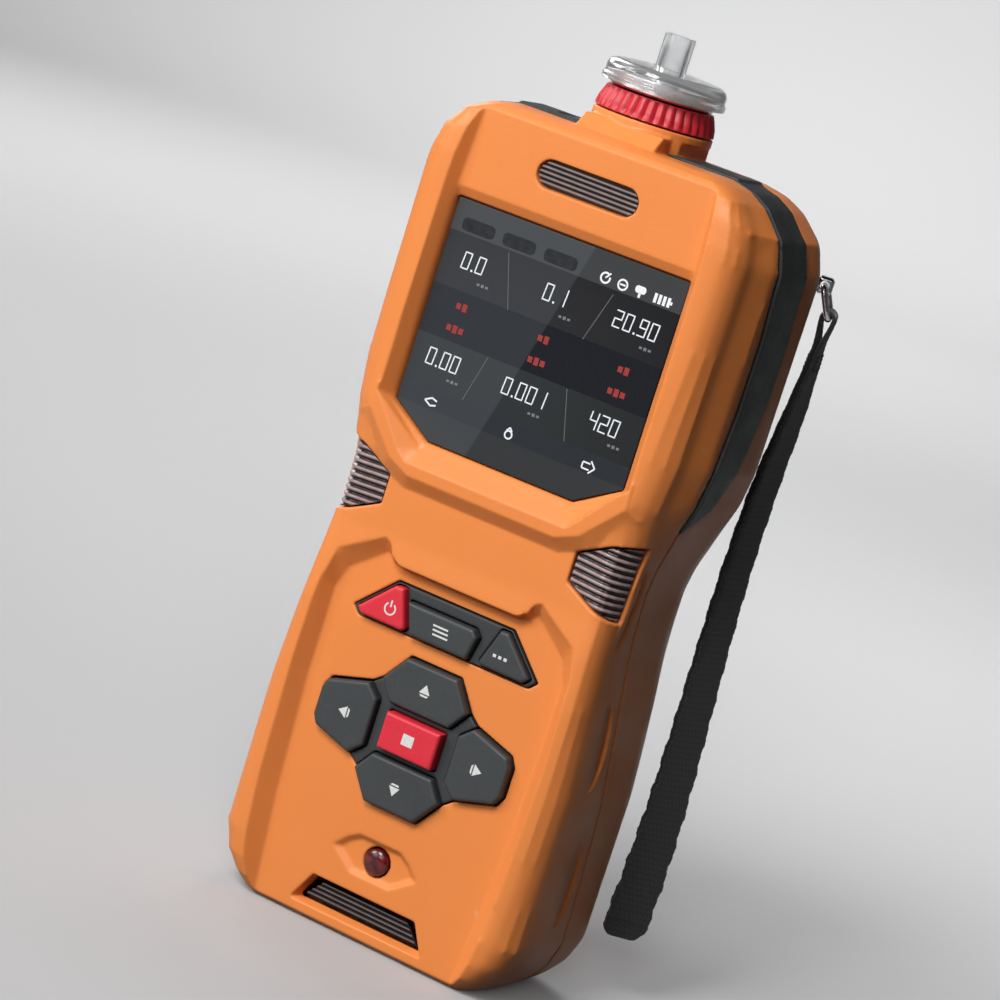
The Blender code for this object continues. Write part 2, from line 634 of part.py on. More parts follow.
def vent_grille():
    outline = offset_outline(pill(VENT_HALF, VENT_R, VENT_Z), -GAP)
    grille = new_object("sounder_grille", plate(outline, PANEL_Y + 0.5, PANEL_Y + 1.5),
                        "grille_plastic")
    grooves = bmesh.new()
    for k in (-1, 0, 1):
        bm = block((-9.6, PANEL_Y - 1.0, VENT_Z + 1.35 * k - 0.3),
                   (9.6, PANEL_Y + 0.95, VENT_Z + 1.35 * k + 0.3))
        add_into(grooves, bm)
    cut(grille, grooves, "grooves")
    return grille


def lower_grille():
    outline = offset_outline(SLOT, -0.9)
    grille = new_object("lower_grille", plate(outline, -13.2, -11.75), "grille_plastic")
    grooves = bmesh.new()
    for k in (-1, 0, 1):
        add_into(grooves, block((-11.0, -15.0, 6.1 + 1.3 * k - 0.3),
                                (11.0, -12.7, 6.1 + 1.3 * k + 0.3)))
    cut(grille, grooves, "grooves")
    return grille


def indicator_lens():
    dome = [(0.0, LED_R - GAP), (2.4, LED_R - GAP), (3.1, 2.1), (3.4, 1.0)]
    return new_object("indicator_lens", stepped_rod((0, -11.6, LED_Z), (0, -1, 0), dome),
                      "red_lens")


# ----------------------------------------------------------------- gas inlet
def knurled_ring():
    """A collar with upright ribs that turns on the neck's thread."""
    ribs = 36
    rings = []
    inner_r = SPIGOT_R + 0.4
    for k in range(ribs * 2):
        turn = math.pi * k / ribs
        proud = 0.0 if k % 2 else 0.45
        profile = [(inner_r, RING_BOTTOM), (NECK_R - 0.45 + proud, RING_BOTTOM),
                   (NECK_R - 0.75 + proud, RING_BOTTOM + 1.6), (NECK_R - 1.7 + proud, RING_TOP),
                   (inner_r, RING_TOP)]
        rings.append([(r * math.cos(turn), NECK_Y + r * math.sin(turn), z) for r, z in profile])
    return new_object("knurled_ring", loft(rings, closed=True), "red_ring",
                      origin=(0, NECK_Y, RING_BOTTOM))


def inlet_piece(name, profile, material, steps=40):
    return new_object(name, turned(profile, steps), material, origin=(0, NECK_Y, RING_BOTTOM))


def filter_stack():
    base = RING_TOP + GAP
    inlet_piece("inlet_seal", [(5.4, SPIGOT_TOP + GAP), (7.4, SPIGOT_TOP + GAP),
                               (7.4, base - GAP), (5.4, base - GAP)], "seal_rubber", 24)
    inlet_piece("filter_base", [(1.6, base), (9.9, base), (10.5, base + 0.5), (10.8, base + 3.0),
                                (9.9, base + 3.0), (9.6, base + 1.2), (3.2, base + 1.2),
                                (1.6, base + 1.5)], "bright_metal")
    inlet_piece("filter_membrane", [(0.4, base + 1.8), (9.2, base + 1.8), (9.2, base + 2.4),
                                    (0.4, base + 2.4)], "white_membrane", 32)
    inlet_piece("filter_cover", [(11.15, base + 0.6), (11.9, base + 0.6), (12.2, base + 0.9),
                                 (12.2, base + 1.7), (11.8, base + 2.1), (11.8, base + 3.5),
                                 (11.3, base + 4.5), (10.1, base + 5.0), (3.3, base + 5.6),
                                 (3.3, base + 4.4), (9.8, base + 3.9), (10.7, base + 3.4),
                                 (11.15, base + 2.7)], "clear_plastic")
    inlet_piece("hose_stub", [(2.0, base + 3.0), (TUBE_R, base + 3.0), (TUBE_R, TUBE_TOP),
                              (2.0, TUBE_TOP)], "clear_plastic", 24)


def exhaust_port():
    profile = [(0.9, 156.5), (1.7, 156.5), (1.7, 161.2), (1.4, 161.5), (0.9, 161.5)]
    new_object("exhaust_port", turned(profile, 16, centre=(-16.2, 0.0)), "seal_rubber")


# -------------------------------------------------------------- inside pieces
def inside():
    boards = (("main_board", (-25.0, -7.0, 30.0), (25.0, -5.6, 150.0), "circuit_board", 0.0),
              ("sensor_board", (-30.0, 1.0, 100.0), (30.0, 2.4, 144.0), "circuit_board", 0.0),
              ("battery_pack", (-20.5, -4.8, 24.0), (20.5, 12.5, 68.0), "battery_wrap", 2.0),
              ("gas_manifold", (-29.0, 12.2, 104.0), (29.0, 14.6, 140.0), "pump_plastic", 0.5),
              ("pump_body", (-13.0, 1.5, 75.0), (13.0, 12.5, 87.0), "pump_plastic", 1.0),
              ("sounder_mount", (-9.0, -11.6, 146.5), (9.0, -10.4, 156.5), "grey_foam", 0.0))
    for name, low, high, material, bevel in boards:
        new_object(name, block(low, high, bevel), material)
    number = 0
    for z in (113.0, 133.0):
        for x in (-19.0, 0.0, 19.0):
            number += 1
            new_object(f"gas_sensor_{number}",
                       stepped_rod((x, 2.7, z), (0, 1, 0), [(0, 7.6), (8.2, 7.6), (9.0, 6.6)], 24),
                       "sensor_can")
    new_object("pump_motor", rod((0, 7.0, 87.3), (0, 7.0, 98.5), 5.2, 24), "motor_steel")
    new_object("sounder", rod((0, -10.1, VENT_Z - 0.2), (0, -7.3, VENT_Z - 0.2), 4.6, 24),
               "pump_plastic")
    new_object("vibration_motor", rod((-8, 2.0, 12.0), (8, 2.0, 12.0), 3.5, 20), "motor_steel")
    tube_path = [(0, NECK_Y, 160.0), (0, NECK_Y + 0.4, 157.0), (1.0, NECK_Y + 3.0, 152.5),
                 (4.0, 8.0, 149.5), (8.5, 10.8, 147.0), (10.5, 11.4, 145.2), (11.0, 13.0, 142.8),
                 (11.0, 13.4, 141.0)]
    new_object("intake_tube", swept(tube_path, 1.8, 10), "silicone_tube")


def charge_socket():
    """A steel can open to the back, with a contact tongue across its slot."""
    socket = new_object("charge_socket",
                        block((-4.9, 7.4, PORT_Z - 2.1), (4.9, SOCKET_FACE_Y, PORT_Z + 2.1), 0.3),
                        "motor_steel")
    slot = pill(SOCKET_SLOT_HALF, SOCKET_SLOT_R, PORT_Z)
    y_floor = SOCKET_FACE_Y - SOCKET_SLOT_DEEP
    cut(socket, plate(slot, y_floor, SOCKET_FACE_Y + 1.0), "slot")
    tongue = block((-3.3, y_floor - 1.0, PORT_Z - 0.35), (3.3, SOCKET_FACE_Y - 1.0, PORT_Z + 0.35))
    join(socket, tongue, "tongue")


def case_screws():
    for n, (x, z) in enumerate(CASE_SCREWS, 1):
        steps = [(0, 1.1), (11.0, 1.1), (11.01, 2.55), (12.4, 2.55), (12.8, 2.0)]
        screw = new_object(f"case_screw_{n}",
                           stepped_rod((x, BACK_Y - 13.0, z), (0, 1, 0), steps, 16), "screw_steel")
        slot = block((x - 1.6, BACK_Y - 1.2, z - 0.35), (x + 1.6, BACK_Y + 1, z + 0.35))
        cut(screw, slot, "slot")
        slot = block((x - 0.35, BACK_Y - 1.2, z - 1.6), (x + 0.35, BACK_Y + 1, z + 1.6))
        cut(screw, slot, "cross_slot")


def charge_port_cover():
    z0 = PORT_Z - PORT_COVER_HIGH / 2
    z1 = PORT_Z + PORT_COVER_HIGH / 2
    y_outer = BACK_Y + PORT_COVER_PROUD
    bm = block((-PORT_COVER_HALF, BACK_Y - 1.3, z0), (PORT_COVER_HALF, y_outer, z1), 0.3)
    cover = new_object("charge_port_cover", bm, "seal_rubber", origin=(0.0, y_outer, z0))
    pull = block((-2.2, BACK_Y, z1 - 2.2), (2.2, BACK_Y + 0.8, z1 - 1.0), 0.2)
    join(cover, pull, "pull_tab")
    return cover


# --------------------------------------------------------------- strap group
def turned_eye(bm):
    """Swing a piece modelled along +Y onto the ring hinge's axis."""
    pivot = Vector((EYE_AXIS[0], EYE_Y, EYE_AXIS[1]))
    turn = Matrix.Rotation(math.radians(EYE_TURN), 4, "Z")
    matrix = Matrix.Translation(pivot) @ turn @ Matrix.Translation(-pivot)
    bmesh.ops.transform(bm, matrix=matrix, verts=bm.verts)
    return bm


def eye_shank(clearance=0.0, longer=0.0):
    """The pin that holds the strap eye in the rear shell's corner."""
    x, z = EYE_AXIS
    inward = Vector((-0.46, -0.888, 0.0))
    centre = Vector((x, EYE_Y, z))
    return rod(centre + inward * 1.0, centre + inward * (7.6 + longer), 1.0 + clearance, 12)


def strap_eye():
    """A steel eye fixed in the rear shell's corner; the ring hangs in it."""
    x, z = EYE_AXIS
    bm = turned_eye(block((x - 1.6, EYE_Y - 1.4, z - 1.7), (x + 1.6, EYE_Y + 1.4, z + 1.7), 0.5))
    eye = new_object("strap_eye", bm, "ring_wire")
    join(eye, eye_shank(), "shank")
    hole = rod((x, EYE_Y - 6, z), (x, EYE_Y + 6, z), RING_WIRE_R + 0.3, 16)
    cut(eye, turned_eye(hole), "hole")
    return eye


def strap_ring():
    """A rounded rectangle of wire whose top bar turns in the eye, leaning outwards."""
    x, z = EYE_AXIS
    r = 1.6
    corners = ((RING_HALF, 0.0), (RING_HALF, -RING_DROP), (-RING_HALF, -RING_DROP),
               (-RING_HALF, 0.0))
    path = []
    steps = 4
    lean = math.radians(RING_LEAN)
    for index, (across, down) in enumerate(corners):
        cy = EYE_Y + (across - math.copysign(r, across))
        hang = down - r if down == 0.0 else down + r
        start = (90, 0, -90, -180)[index]
        for k in range(steps + 1):
            angle = math.radians(start - 90.0 * k / steps)
            drop = hang + r * math.sin(angle)
            path.append((x - drop * math.sin(lean), cy + r * math.cos(angle),
                         z + drop * math.cos(lean)))
    bm = turned_eye(swept(path, RING_WIRE_R, 8, closed=True))
    return new_object("strap_ring", bm, "ring_wire", origin=(x, EYE_Y, z))


# Each point of the strap's middle line, and the webbing's turn about Z there, in degrees
STRAP_ROUTE = ((38.4, 21.9, 139.7), (38.3, 21.9, 132.0), (38.0, 21.8, 122.0), (37.2, 21.6, 108.0),
               (37.0, 21.5, 92.0), (37.5, 21.5, 74.0), (38.3, 21.6, 56.0), (38.8, 21.7, 40.0),
               (38.8, 21.7, 26.0), (38.3, 21.6, STRAP_LOW))
STRAP_TURNS = (EYE_TURN, 13.0, 2.0, -7.0, -11.0, -16.0, -24.0, -34.0, -45.0, -55.0)


def wrist_strap():
    """The strap's webbing, sewn double, hanging down from the ring and slowly turning."""
    rings = []
    for point, turn in zip(STRAP_ROUTE, STRAP_TURNS):
        angle = math.radians(turn)
        wide = Vector((-math.sin(angle), math.cos(angle), 0.0)) * STRAP_WIDTH / 2
        thick = Vector((math.cos(angle), math.sin(angle), 0.0)) * STRAP_THICK / 2
        centre = Vector(point)
        rings.append([centre + wide * a + thick * b
                      for a, b in ((-1, -0.6), (-0.9, -1), (0.9, -1), (1, -0.6), (1, 0.6),
                                   (0.9, 1), (-0.9, 1), (-1, 0.6))])
    return new_object("wrist_strap", loft(rings), "strap_fabric")


def main():
    for obj in list(bpy.data.objects):
        bpy.data.objects.remove(obj, do_unlink=True)
    front_shell()
    rear_shell()
    for side in (-1, 1):
        bumper(side)
        alarm_lens(side)
    display_window()
    display_gasket()
    display_module()
    keypad_mat()
    for spec in KEYS:
        key(*spec)
    vent_grille()
    lower_grille()
    indicator_lens()
    knurled_ring()
    filter_stack()
    exhaust_port()
    inside()
    case_screws()
    charge_socket()
    charge_port_cover()
    strap_eye()
    strap_ring()
    wrist_strap()


main()
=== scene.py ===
"""The looks of the hand-held gas detector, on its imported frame.

Sizes and places are in millimetres in the frame's own axes, unless a name says otherwise:
+Z runs up the case, -Y is the front, +X is to the right seen from the front.
"""
import json
import math

import bmesh
import bpy
import numpy as np
from mathutils import Matrix, Vector
from mathutils.kdtree import KDTree


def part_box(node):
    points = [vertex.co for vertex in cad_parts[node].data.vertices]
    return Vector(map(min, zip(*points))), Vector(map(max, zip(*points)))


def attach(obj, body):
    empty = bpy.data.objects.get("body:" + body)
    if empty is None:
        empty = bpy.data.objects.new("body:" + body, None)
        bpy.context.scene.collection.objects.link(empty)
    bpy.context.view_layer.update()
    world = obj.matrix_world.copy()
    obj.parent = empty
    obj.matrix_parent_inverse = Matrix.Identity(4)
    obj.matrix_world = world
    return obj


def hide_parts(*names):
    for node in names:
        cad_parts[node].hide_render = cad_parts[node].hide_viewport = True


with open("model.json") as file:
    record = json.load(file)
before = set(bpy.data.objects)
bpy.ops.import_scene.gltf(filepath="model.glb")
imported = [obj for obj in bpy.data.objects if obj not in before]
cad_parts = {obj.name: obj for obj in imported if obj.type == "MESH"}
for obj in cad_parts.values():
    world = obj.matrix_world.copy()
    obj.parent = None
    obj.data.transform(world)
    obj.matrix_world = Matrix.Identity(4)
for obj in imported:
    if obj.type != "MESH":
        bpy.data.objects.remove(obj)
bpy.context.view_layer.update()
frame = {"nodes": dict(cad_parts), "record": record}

MM = 0.001

# ------------------------------ camera, in metres and degrees
CAMERA_AZIMUTH = 25.55
CAMERA_ELEVATION = 10.0
CAMERA_ROLL = 17.86
CAMERA_DISTANCE = 0.7082
CAMERA_TARGET = Vector((0.0, 0.0, 0.088))
CAMERA_LENS = 133.26
CAMERA_SHIFT = (-0.0224, 0.0105)
LAMP_DISTANCE = 1.3


def linked_object(name, data):
    obj = bpy.data.objects.new(name, data)
    bpy.context.scene.collection.objects.link(obj)
    return obj


def direction(azimuth, elevation):
    """The unit vector from the object towards a viewer at these angles, in degrees."""
    a, e = math.radians(azimuth), math.radians(elevation)
    return Vector((math.sin(a) * math.cos(e), -math.cos(a) * math.cos(e), math.sin(e)))


def make_camera():
    back = direction(CAMERA_AZIMUTH, CAMERA_ELEVATION)
    right = Vector((0, 0, 1)).cross(back).normalized()
    up = back.cross(right)
    roll = math.radians(CAMERA_ROLL)
    across = right * math.cos(roll) + up * math.sin(roll)
    upright = up * math.cos(roll) - right * math.sin(roll)
    camera = linked_object("camera", bpy.data.cameras.new("camera"))
    camera.matrix_world = Matrix((across, upright, back)).transposed().to_4x4()
    camera.location = CAMERA_TARGET + back * CAMERA_DISTANCE
    camera.data.lens = CAMERA_LENS
    camera.data.shift_x, camera.data.shift_y = CAMERA_SHIFT
    camera.data.clip_start = 0.01
    bpy.context.scene.camera = camera


# ------------------------------ stage and light, in metres
def square_light(name, location, back, size, power):
    """A soft light at a place in metres, shining away from the direction back."""
    light = bpy.data.lights.new(name, "AREA")
    light.size = size
    light.energy = power
    obj = linked_object(name, light)
    obj.location = location
    obj.rotation_euler = back.to_track_quat("Z", "Y").to_euler()
    return obj


def make_lamp(name, azimuth, elevation, size, power):
    """A light on the object, from these angles in degrees."""
    back = direction(azimuth, elevation)
    square_light(name, CAMERA_TARGET + back * LAMP_DISTANCE, back, size, power)


def make_wash(name, location, target, size, spread, power):
    """A light that falls on the backdrop only, its spread in degrees."""
    wash = square_light(name, location, Vector(location) - Vector(target), size, power)
    wash.data.spread = math.radians(spread)
    stage_only = bpy.data.collections.new(f"{name}_receivers")
    stage_only.objects.link(bpy.data.objects["backdrop"])
    wash.light_linking.receiver_collection = stage_only


def make_stage():
    """A plain pale floor that rises into a round backdrop."""
    flat, bend, wall = 1.5, 0.9, 2.6
    bend_steps, steps = 12, 96
    profile = [(r, 0.0) for r in (0.15, 0.4, 0.8, flat)]
    for k in range(1, bend_steps + 1):
        turn = math.pi / 2 * k / bend_steps
        profile.append((flat + bend * math.sin(turn), bend * (1 - math.cos(turn))))
    profile.append((flat + bend, wall))
    count = len(profile)
    verts, faces = [], []
    for k in range(steps):
        turn = 2 * math.pi * k / steps
        verts += [(r * math.cos(turn), r * math.sin(turn), z) for r, z in profile]
    for k in range(steps):
        here, there = k * count, (k + 1) % steps * count
        faces += [(here + i, here + i + 1, there + i + 1, there + i) for i in range(count - 1)]
    faces.append([k * count for k in range(steps)])
    mesh = bpy.data.meshes.new("backdrop")
    mesh.from_pydata(verts, [], faces)
    mesh.shade_smooth()
    obj = linked_object("backdrop", mesh)
    paint = Paint("backdrop", (0.48, 0.48, 0.485), 0.9, Specular_IOR_Level=0.0)
    mesh.materials.append(paint.material)
    obj.visible_diffuse = False      # no bounce from the floor on the object


def make_light():
    make_lamp("key", -10, 45, 0.45, 11.8)
    make_lamp("left", -50, 25, 0.45, 6.0)
    make_lamp("low_front", -30, 15, 0.45, 1.3)
    make_lamp("front", 0, 20, 0.45, 2.5)
    make_lamp("right_front", 20, 35, 0.45, 1.1)
    make_lamp("back_left", 235, 25, 0.6, 5.0)
    make_wash("wall_wash", (0.3, 0.1, 1.5), (-0.6, 1.2, 0.0), 0.5, 60, 2.7)
    make_wash("wall_wash_front", (0.5, -0.9, 0.6), (-0.6, 1.8, 0.8), 0.5, 64, 11.0)
    make_wash("wall_wash_left", (-0.6, 1.2, 1.3), (-0.6, 1.6, 0.0), 0.5, 80, 3.2)
    make_wash("floor_wash", (-0.1, 0.5, 1.0), (0.0, 0.35, 0.0), 0.4, 50, 0.5)
    world = bpy.data.worlds.new("studio")
    world.use_nodes = True
    background = world.node_tree.nodes["Background"]
    background.inputs["Color"].default_value = (0.95, 0.97, 1.0, 1.0)
    background.inputs["Strength"].default_value = 0.012
    bpy.context.scene.world = world
    bpy.context.scene.view_settings.view_transform = "Standard"


# ------------------------------ materials
class Paint:
    """One Principled material and the nodes that feed its sockets."""

    def __init__(self, name, colour, roughness, metallic=0.0, **sockets):
        self.material = bpy.data.materials.new(name)
        self.material.use_nodes = True
        self.tree = self.material.node_tree
        self.surface = self.tree.nodes["Principled BSDF"]
        self.set("Base Color", (*colour, 1.0))
        self.set("Roughness", roughness)
        self.set("Metallic", metallic)
        for socket, value in sockets.items():
            self.set(socket.replace("_", " "), value)

    def set(self, socket, value):
        self.surface.inputs[socket].default_value = value

    def node(self, kind, links=(), **settings):
        """Add a node; links maps its inputs to outputs or plain values."""
        made = self.tree.nodes.new(kind)
        for key, value in settings.items():
            setattr(made, key, value)
        for socket, value in dict(links).items():
            if isinstance(value, bpy.types.NodeSocket):
                self.tree.links.new(value, made.inputs[socket])
            else:
                made.inputs[socket].default_value = value
        return made

    def place(self, stretch=(1.0, 1.0, 1.0)):
        """Object coordinates in metres, stretched."""
        where = self.node("ShaderNodeTexCoord").outputs["Object"]
        mapping = self.node("ShaderNodeMapping", {"Vector": where, "Scale": stretch})
        return mapping.outputs["Vector"]

    def noise(self, scale, detail=2.0, stretch=(1.0, 1.0, 1.0)):
        made = self.node("ShaderNodeTexNoise", {"Vector": self.place(stretch), "Scale": scale,
                                                "Detail": detail})
        return made.outputs["Fac"]

    def cells(self, scale):
        made = self.node("ShaderNodeTexVoronoi", {"Vector": self.place(), "Scale": scale})
        return made.outputs["Distance"]

    def axis(self, name):
        """One of the object coordinates, in metres."""
        return self.node("ShaderNodeSeparateXYZ", {"Vector": self.place()}).outputs[name]

    def attribute(self, name):
        return self.node("ShaderNodeAttribute", attribute_name=name).outputs["Fac"]

    def pointiness(self):
        return self.node("ShaderNodeNewGeometry").outputs["Pointiness"]

    def span(self, value, low, high, to_low=0.0, to_high=1.0):
        made = self.node("ShaderNodeMapRange", {"Value": value, "From Min": low, "From Max": high,
                                                "To Min": to_low, "To Max": to_high})
        return made.outputs["Result"]

    def maths(self, operation, first, second=0.0):
        return self.node("ShaderNodeMath", {0: first, 1: second}, operation=operation).outputs[0]

    def mix(self, fac, first, second):
        made = self.node("ShaderNodeMix", data_type="RGBA")
        for index, value in ((0, fac), (6, first), (7, second)):
            if isinstance(value, bpy.types.NodeSocket):
                self.tree.links.new(value, made.inputs[index])
            else:
                made.inputs[index].default_value = value if index == 0 else (*value, 1.0)
        return made.outputs[2]

    def feed(self, socket, output):
        self.tree.links.new(output, self.surface.inputs[socket])

    def tint(self, fac, first, second):
        """Feed the base colour with a mix."""
        self.feed("Base Color", self.mix(fac, first, second))

    def steps(self, fac, stops):
        """Colours that each hold from their own stop to the next."""
        made = self.node("ShaderNodeValToRGB", {"Fac": fac})
        made.color_ramp.interpolation = "CONSTANT"
        elements = made.color_ramp.elements
        stops = list(stops)
        while len(elements) < len(stops):
            elements.new(1.0)
        for element, (at, colour) in zip(elements, stops):
            element.position = at
            element.color = (*colour, 1.0)
        return made.outputs["Color"]

    def rough(self, fac, low, high, from_low=0.3, from_high=0.7):
        self.feed("Roughness", self.span(fac, from_low, from_high, low, high))

    def bump(self, height, depth):
        """Raise the surface by depth millimetres where height is 1."""
        made = self.node("ShaderNodeBump", {"Height": height, "Distance": depth * MM,
                                            "Strength": 1.0})
        self.feed("Normal", made.outputs["Normal"])


def shade(colour, factor):
    return tuple(min(1.0, c * factor) for c in colour)


def moulded(name, colour, low, high, grain=2600, depth=0.03, **sockets):
    """Injection-moulded plastic: fine spark-eroded grain, faint flow marks, and a painted highlight
    that makes its edges paler in patches.
    """
    paint = Paint(name, colour, (low + high) / 2, **sockets)
    flow = paint.noise(28, 4)
    body = paint.mix(flow, shade(colour, 0.96), shade(colour, 1.04))
    # Painted highlight: sharp outer edges are tinted paler, broken into patches by noise
    edge = paint.span(paint.pointiness(), 0.52, 0.60)
    highlight_patches = paint.span(paint.noise(900, 4), 0.45, 0.70)
    painted_edge_highlight = paint.maths("MULTIPLY", paint.maths("MULTIPLY", edge, highlight_patches), 0.4)
    paint.tint(painted_edge_highlight, body, tuple(0.75 * c + 0.25 for c in colour))
    paint.rough(paint.noise(120, 5), low, high)
    paint.bump(paint.noise(grain, 2), depth)
    return paint.material


def rubber(name, colour, low, high, grain=4200, depth=0.02, dust=0.05):
    """Moulded rubber: matt, with fine speckle and a little dust in it."""
    paint = Paint(name, colour, (low + high) / 2)
    speck = paint.span(paint.noise(1500, 3), 0.55, 0.75)
    body = paint.mix(paint.noise(60, 3), shade(colour, 0.9), shade(colour, 1.12))
    paint.tint(paint.maths("MULTIPLY", speck, 0.5), body, tuple(c + dust for c in colour))
    paint.rough(paint.noise(150, 4), low, high)
    paint.bump(paint.noise(grain, 2), depth)
    return paint.material


def metal(name, colour, low, high, stretch=(1.0, 1.0, 1.0)):
    """Turned or drawn metal, with fine tool lines and a few handling marks."""
    paint = Paint(name, colour, (low + high) / 2, 1.0)
    lines = paint.noise(2400, 3, stretch)
    paint.tint(paint.noise(200, 3), shade(colour, 0.92), shade(colour, 1.05))
    paint.rough(lines, low, high)
    paint.bump(lines, 0.004)
    return paint.material


def clear_plastic():
    """Slightly milky clear plastic."""
    paint = Paint("clear_plastic", (0.95, 0.96, 0.97), 0.08, Transmission_Weight=0.9, IOR=1.49)
    paint.tint(paint.noise(90, 3), (0.92, 0.94, 0.95), (0.99, 0.99, 0.99))
    paint.rough(paint.noise(300, 4), 0.02, 0.10)
    paint.bump(paint.noise(160, 2), 0.01)
    return paint.material


DISPLAY_LOW, DISPLAY_HIGH = 90.0, 145.0
# The display's picture: (height in mm where a band starts, colour, how much it fades to the right)
DISPLAY_BANDS = ((90.0, (0.030, 0.034, 0.036), 0.0), (101.9, (0.020, 0.025, 0.031), 0.2),
                 (105.7, (0.022, 0.026, 0.028), 0.8), (115.4, (0.0030, 0.0042, 0.0085), 0.1),
                 (125.1, (0.018, 0.018, 0.021), 1.0), (135.6, (0.052, 0.055, 0.058), 0.0))
# A painted reflection: a pale tint added to the glass left of a slanting line
PAINTED_REFLECTION = (0.022, 0.025, 0.028)       # added to the glass left of a slanting line
PAINTED_REFLECTION_LINE = (4.8, 141.4, 0.279)    # a point (x, z) on that line, and its lean


def display_glass():
    """Glass over the display: its picture's bands, pixel rows, a painted slanting reflection,
    finger marks.
    """
    paint = Paint("display_glass", (0.02, 0.02, 0.03), 0.07, Specular_IOR_Level=0.2)
    height = paint.span(paint.axis("Z"), DISPLAY_LOW * MM, DISPLAY_HIGH * MM)
    starts = [(z - DISPLAY_LOW) / (DISPLAY_HIGH - DISPLAY_LOW) for z, _, _ in DISPLAY_BANDS]
    bands = paint.steps(height, zip(starts, [colour for _, colour, _ in DISPLAY_BANDS]))
    fades = paint.steps(height, zip(starts, [(fade,) * 3 for _, _, fade in DISPLAY_BANDS]))
    right = paint.span(paint.axis("X"), 0.002, 0.025, 0.0, 0.65)
    picture = paint.mix(paint.maths("MULTIPLY", right, fades), bands, (0.004, 0.005, 0.007))
    # Painted reflection: pale is 1 left of the slanting line, and sheen is the picture with the
    # pale reflection tint added there
    x, z, lean = PAINTED_REFLECTION_LINE
    slant = paint.maths("SUBTRACT", paint.axis("X"), paint.maths("MULTIPLY", paint.axis("Z"), lean))
    start = (x - lean * z) * MM
    pale = paint.span(slant, start - 0.0002, start + 0.0002, 1.0, 0.0)
    sheen = paint.node("ShaderNodeMix", {0: pale}, data_type="RGBA", blend_type="ADD")
    paint.tree.links.new(picture, sheen.inputs[6])
    sheen.inputs[7].default_value = (*PAINTED_REFLECTION, 1.0)
    rows = paint.node("ShaderNodeTexWave", {"Vector": paint.place(), "Scale": 900.0},
                      bands_direction="Z").outputs["Fac"]
    paint.tint(paint.span(rows, 0.0, 1.0, 0.0, 0.06), sheen.outputs[2], (0.05, 0.06, 0.07))
    smears = paint.noise(70, 5, (1.0, 1.0, 0.5))
    paint.rough(smears, 0.04, 0.14, 0.45, 0.75)
    return paint.material


def lens_plastic():
    """Smoked lens: near black in its grooves as painted shade, pale pinkish on its ribs, red at its
    outer side.
    """
    paint = Paint("alarm_lens", (0.2, 0.1, 0.1), 0.2, IOR=1.5)
    rib = paint.attribute("rib")
    mottle = paint.noise(700, 4)
    crest = paint.mix(mottle, (0.24, 0.15, 0.145), (0.52, 0.38, 0.37))
    # The grooves' near black is painted shade that follows the ribs' relief
    body = paint.mix(paint.span(rib, 0.40, 0.9), (0.010, 0.004, 0.005), crest)
    glow = paint.mix(mottle, (0.34, 0.016, 0.014), (0.62, 0.07, 0.055))
    outer = paint.span(paint.maths("ABSOLUTE", paint.axis("X")), 0.0312, 0.0335)
    paint.tint(paint.maths("MULTIPLY", outer, 0.8), body, glow)
    paint.rough(paint.noise(400, 4), 0.14, 0.34)
    paint.bump(paint.noise(900, 3), 0.03)
    return paint.material


def grille_plastic(name, light):
    """Dull slats over a nearly black ground, painted as the shade between them; light scales the
    crests' colour to paint them lit or shaded.
    """
    paint = Paint(name, (0.12, 0.09, 0.09), 0.45)
    rib = paint.attribute("rib")
    crest = paint.mix(paint.noise(500, 3), shade((0.13, 0.095, 0.09), light),
                      shade((0.26, 0.20, 0.19), light))
    # The ground between the slats is painted nearly black as shade
    paint.tint(paint.span(rib, 0.3, 0.8), (0.006, 0.004, 0.004), crest)
    paint.rough(paint.noise(700, 3), 0.30, 0.52)
    paint.bump(paint.noise(1800, 3), 0.02)
    return paint.material


def red_lens():
    """Dark red lens with small facets."""
    paint = Paint("red_lens", (0.18, 0.01, 0.015), 0.12, Coat_Weight=0.4)
    facets = paint.cells(700)
    paint.tint(paint.span(facets, 0.0, 0.9), (0.22, 0.008, 0.014), (0.03, 0.001, 0.002))
    paint.rough(facets, 0.16, 0.34, 0.0, 1.0)
    paint.bump(facets, 0.05)
    return paint.material


def webbing():
    """Woven nylon: the weave is in the mesh, the yarns' sheen and fuzz are here."""
    paint = Paint("strap_fabric", (0.014, 0.015, 0.015), 0.8, Sheen_Weight=0.35,
                  Sheen_Roughness=0.5)
    fibre = paint.noise(6000, 3, (1.0, 1.0, 0.25))
    yarn = paint.attribute("weave")
    dark = paint.mix(fibre, (0.006, 0.0065, 0.0065), (0.020, 0.021, 0.020))
    light = paint.mix(fibre, (0.022, 0.023, 0.022), (0.050, 0.051, 0.048))
    paint.tint(yarn, dark, light)
    paint.rough(fibre, 0.62, 0.95)
    paint.bump(fibre, 0.03)
    return paint.material


def circuit_board():
    """Green solder mask with copper tracks under it."""
    paint = Paint("circuit_board", (0.02, 0.16, 0.06), 0.4)
    tracks = paint.node("ShaderNodeTexBrick", {"Vector": paint.place(),
                                               "Scale": 260.0, "Mortar Size": 0.03})
    paint.tint(tracks.outputs["Fac"], (0.015, 0.12, 0.045), (0.05, 0.25, 0.09))
    paint.rough(paint.noise(500, 3), 0.3, 0.5)
    paint.bump(tracks.outputs["Fac"], 0.02)
    return paint.material


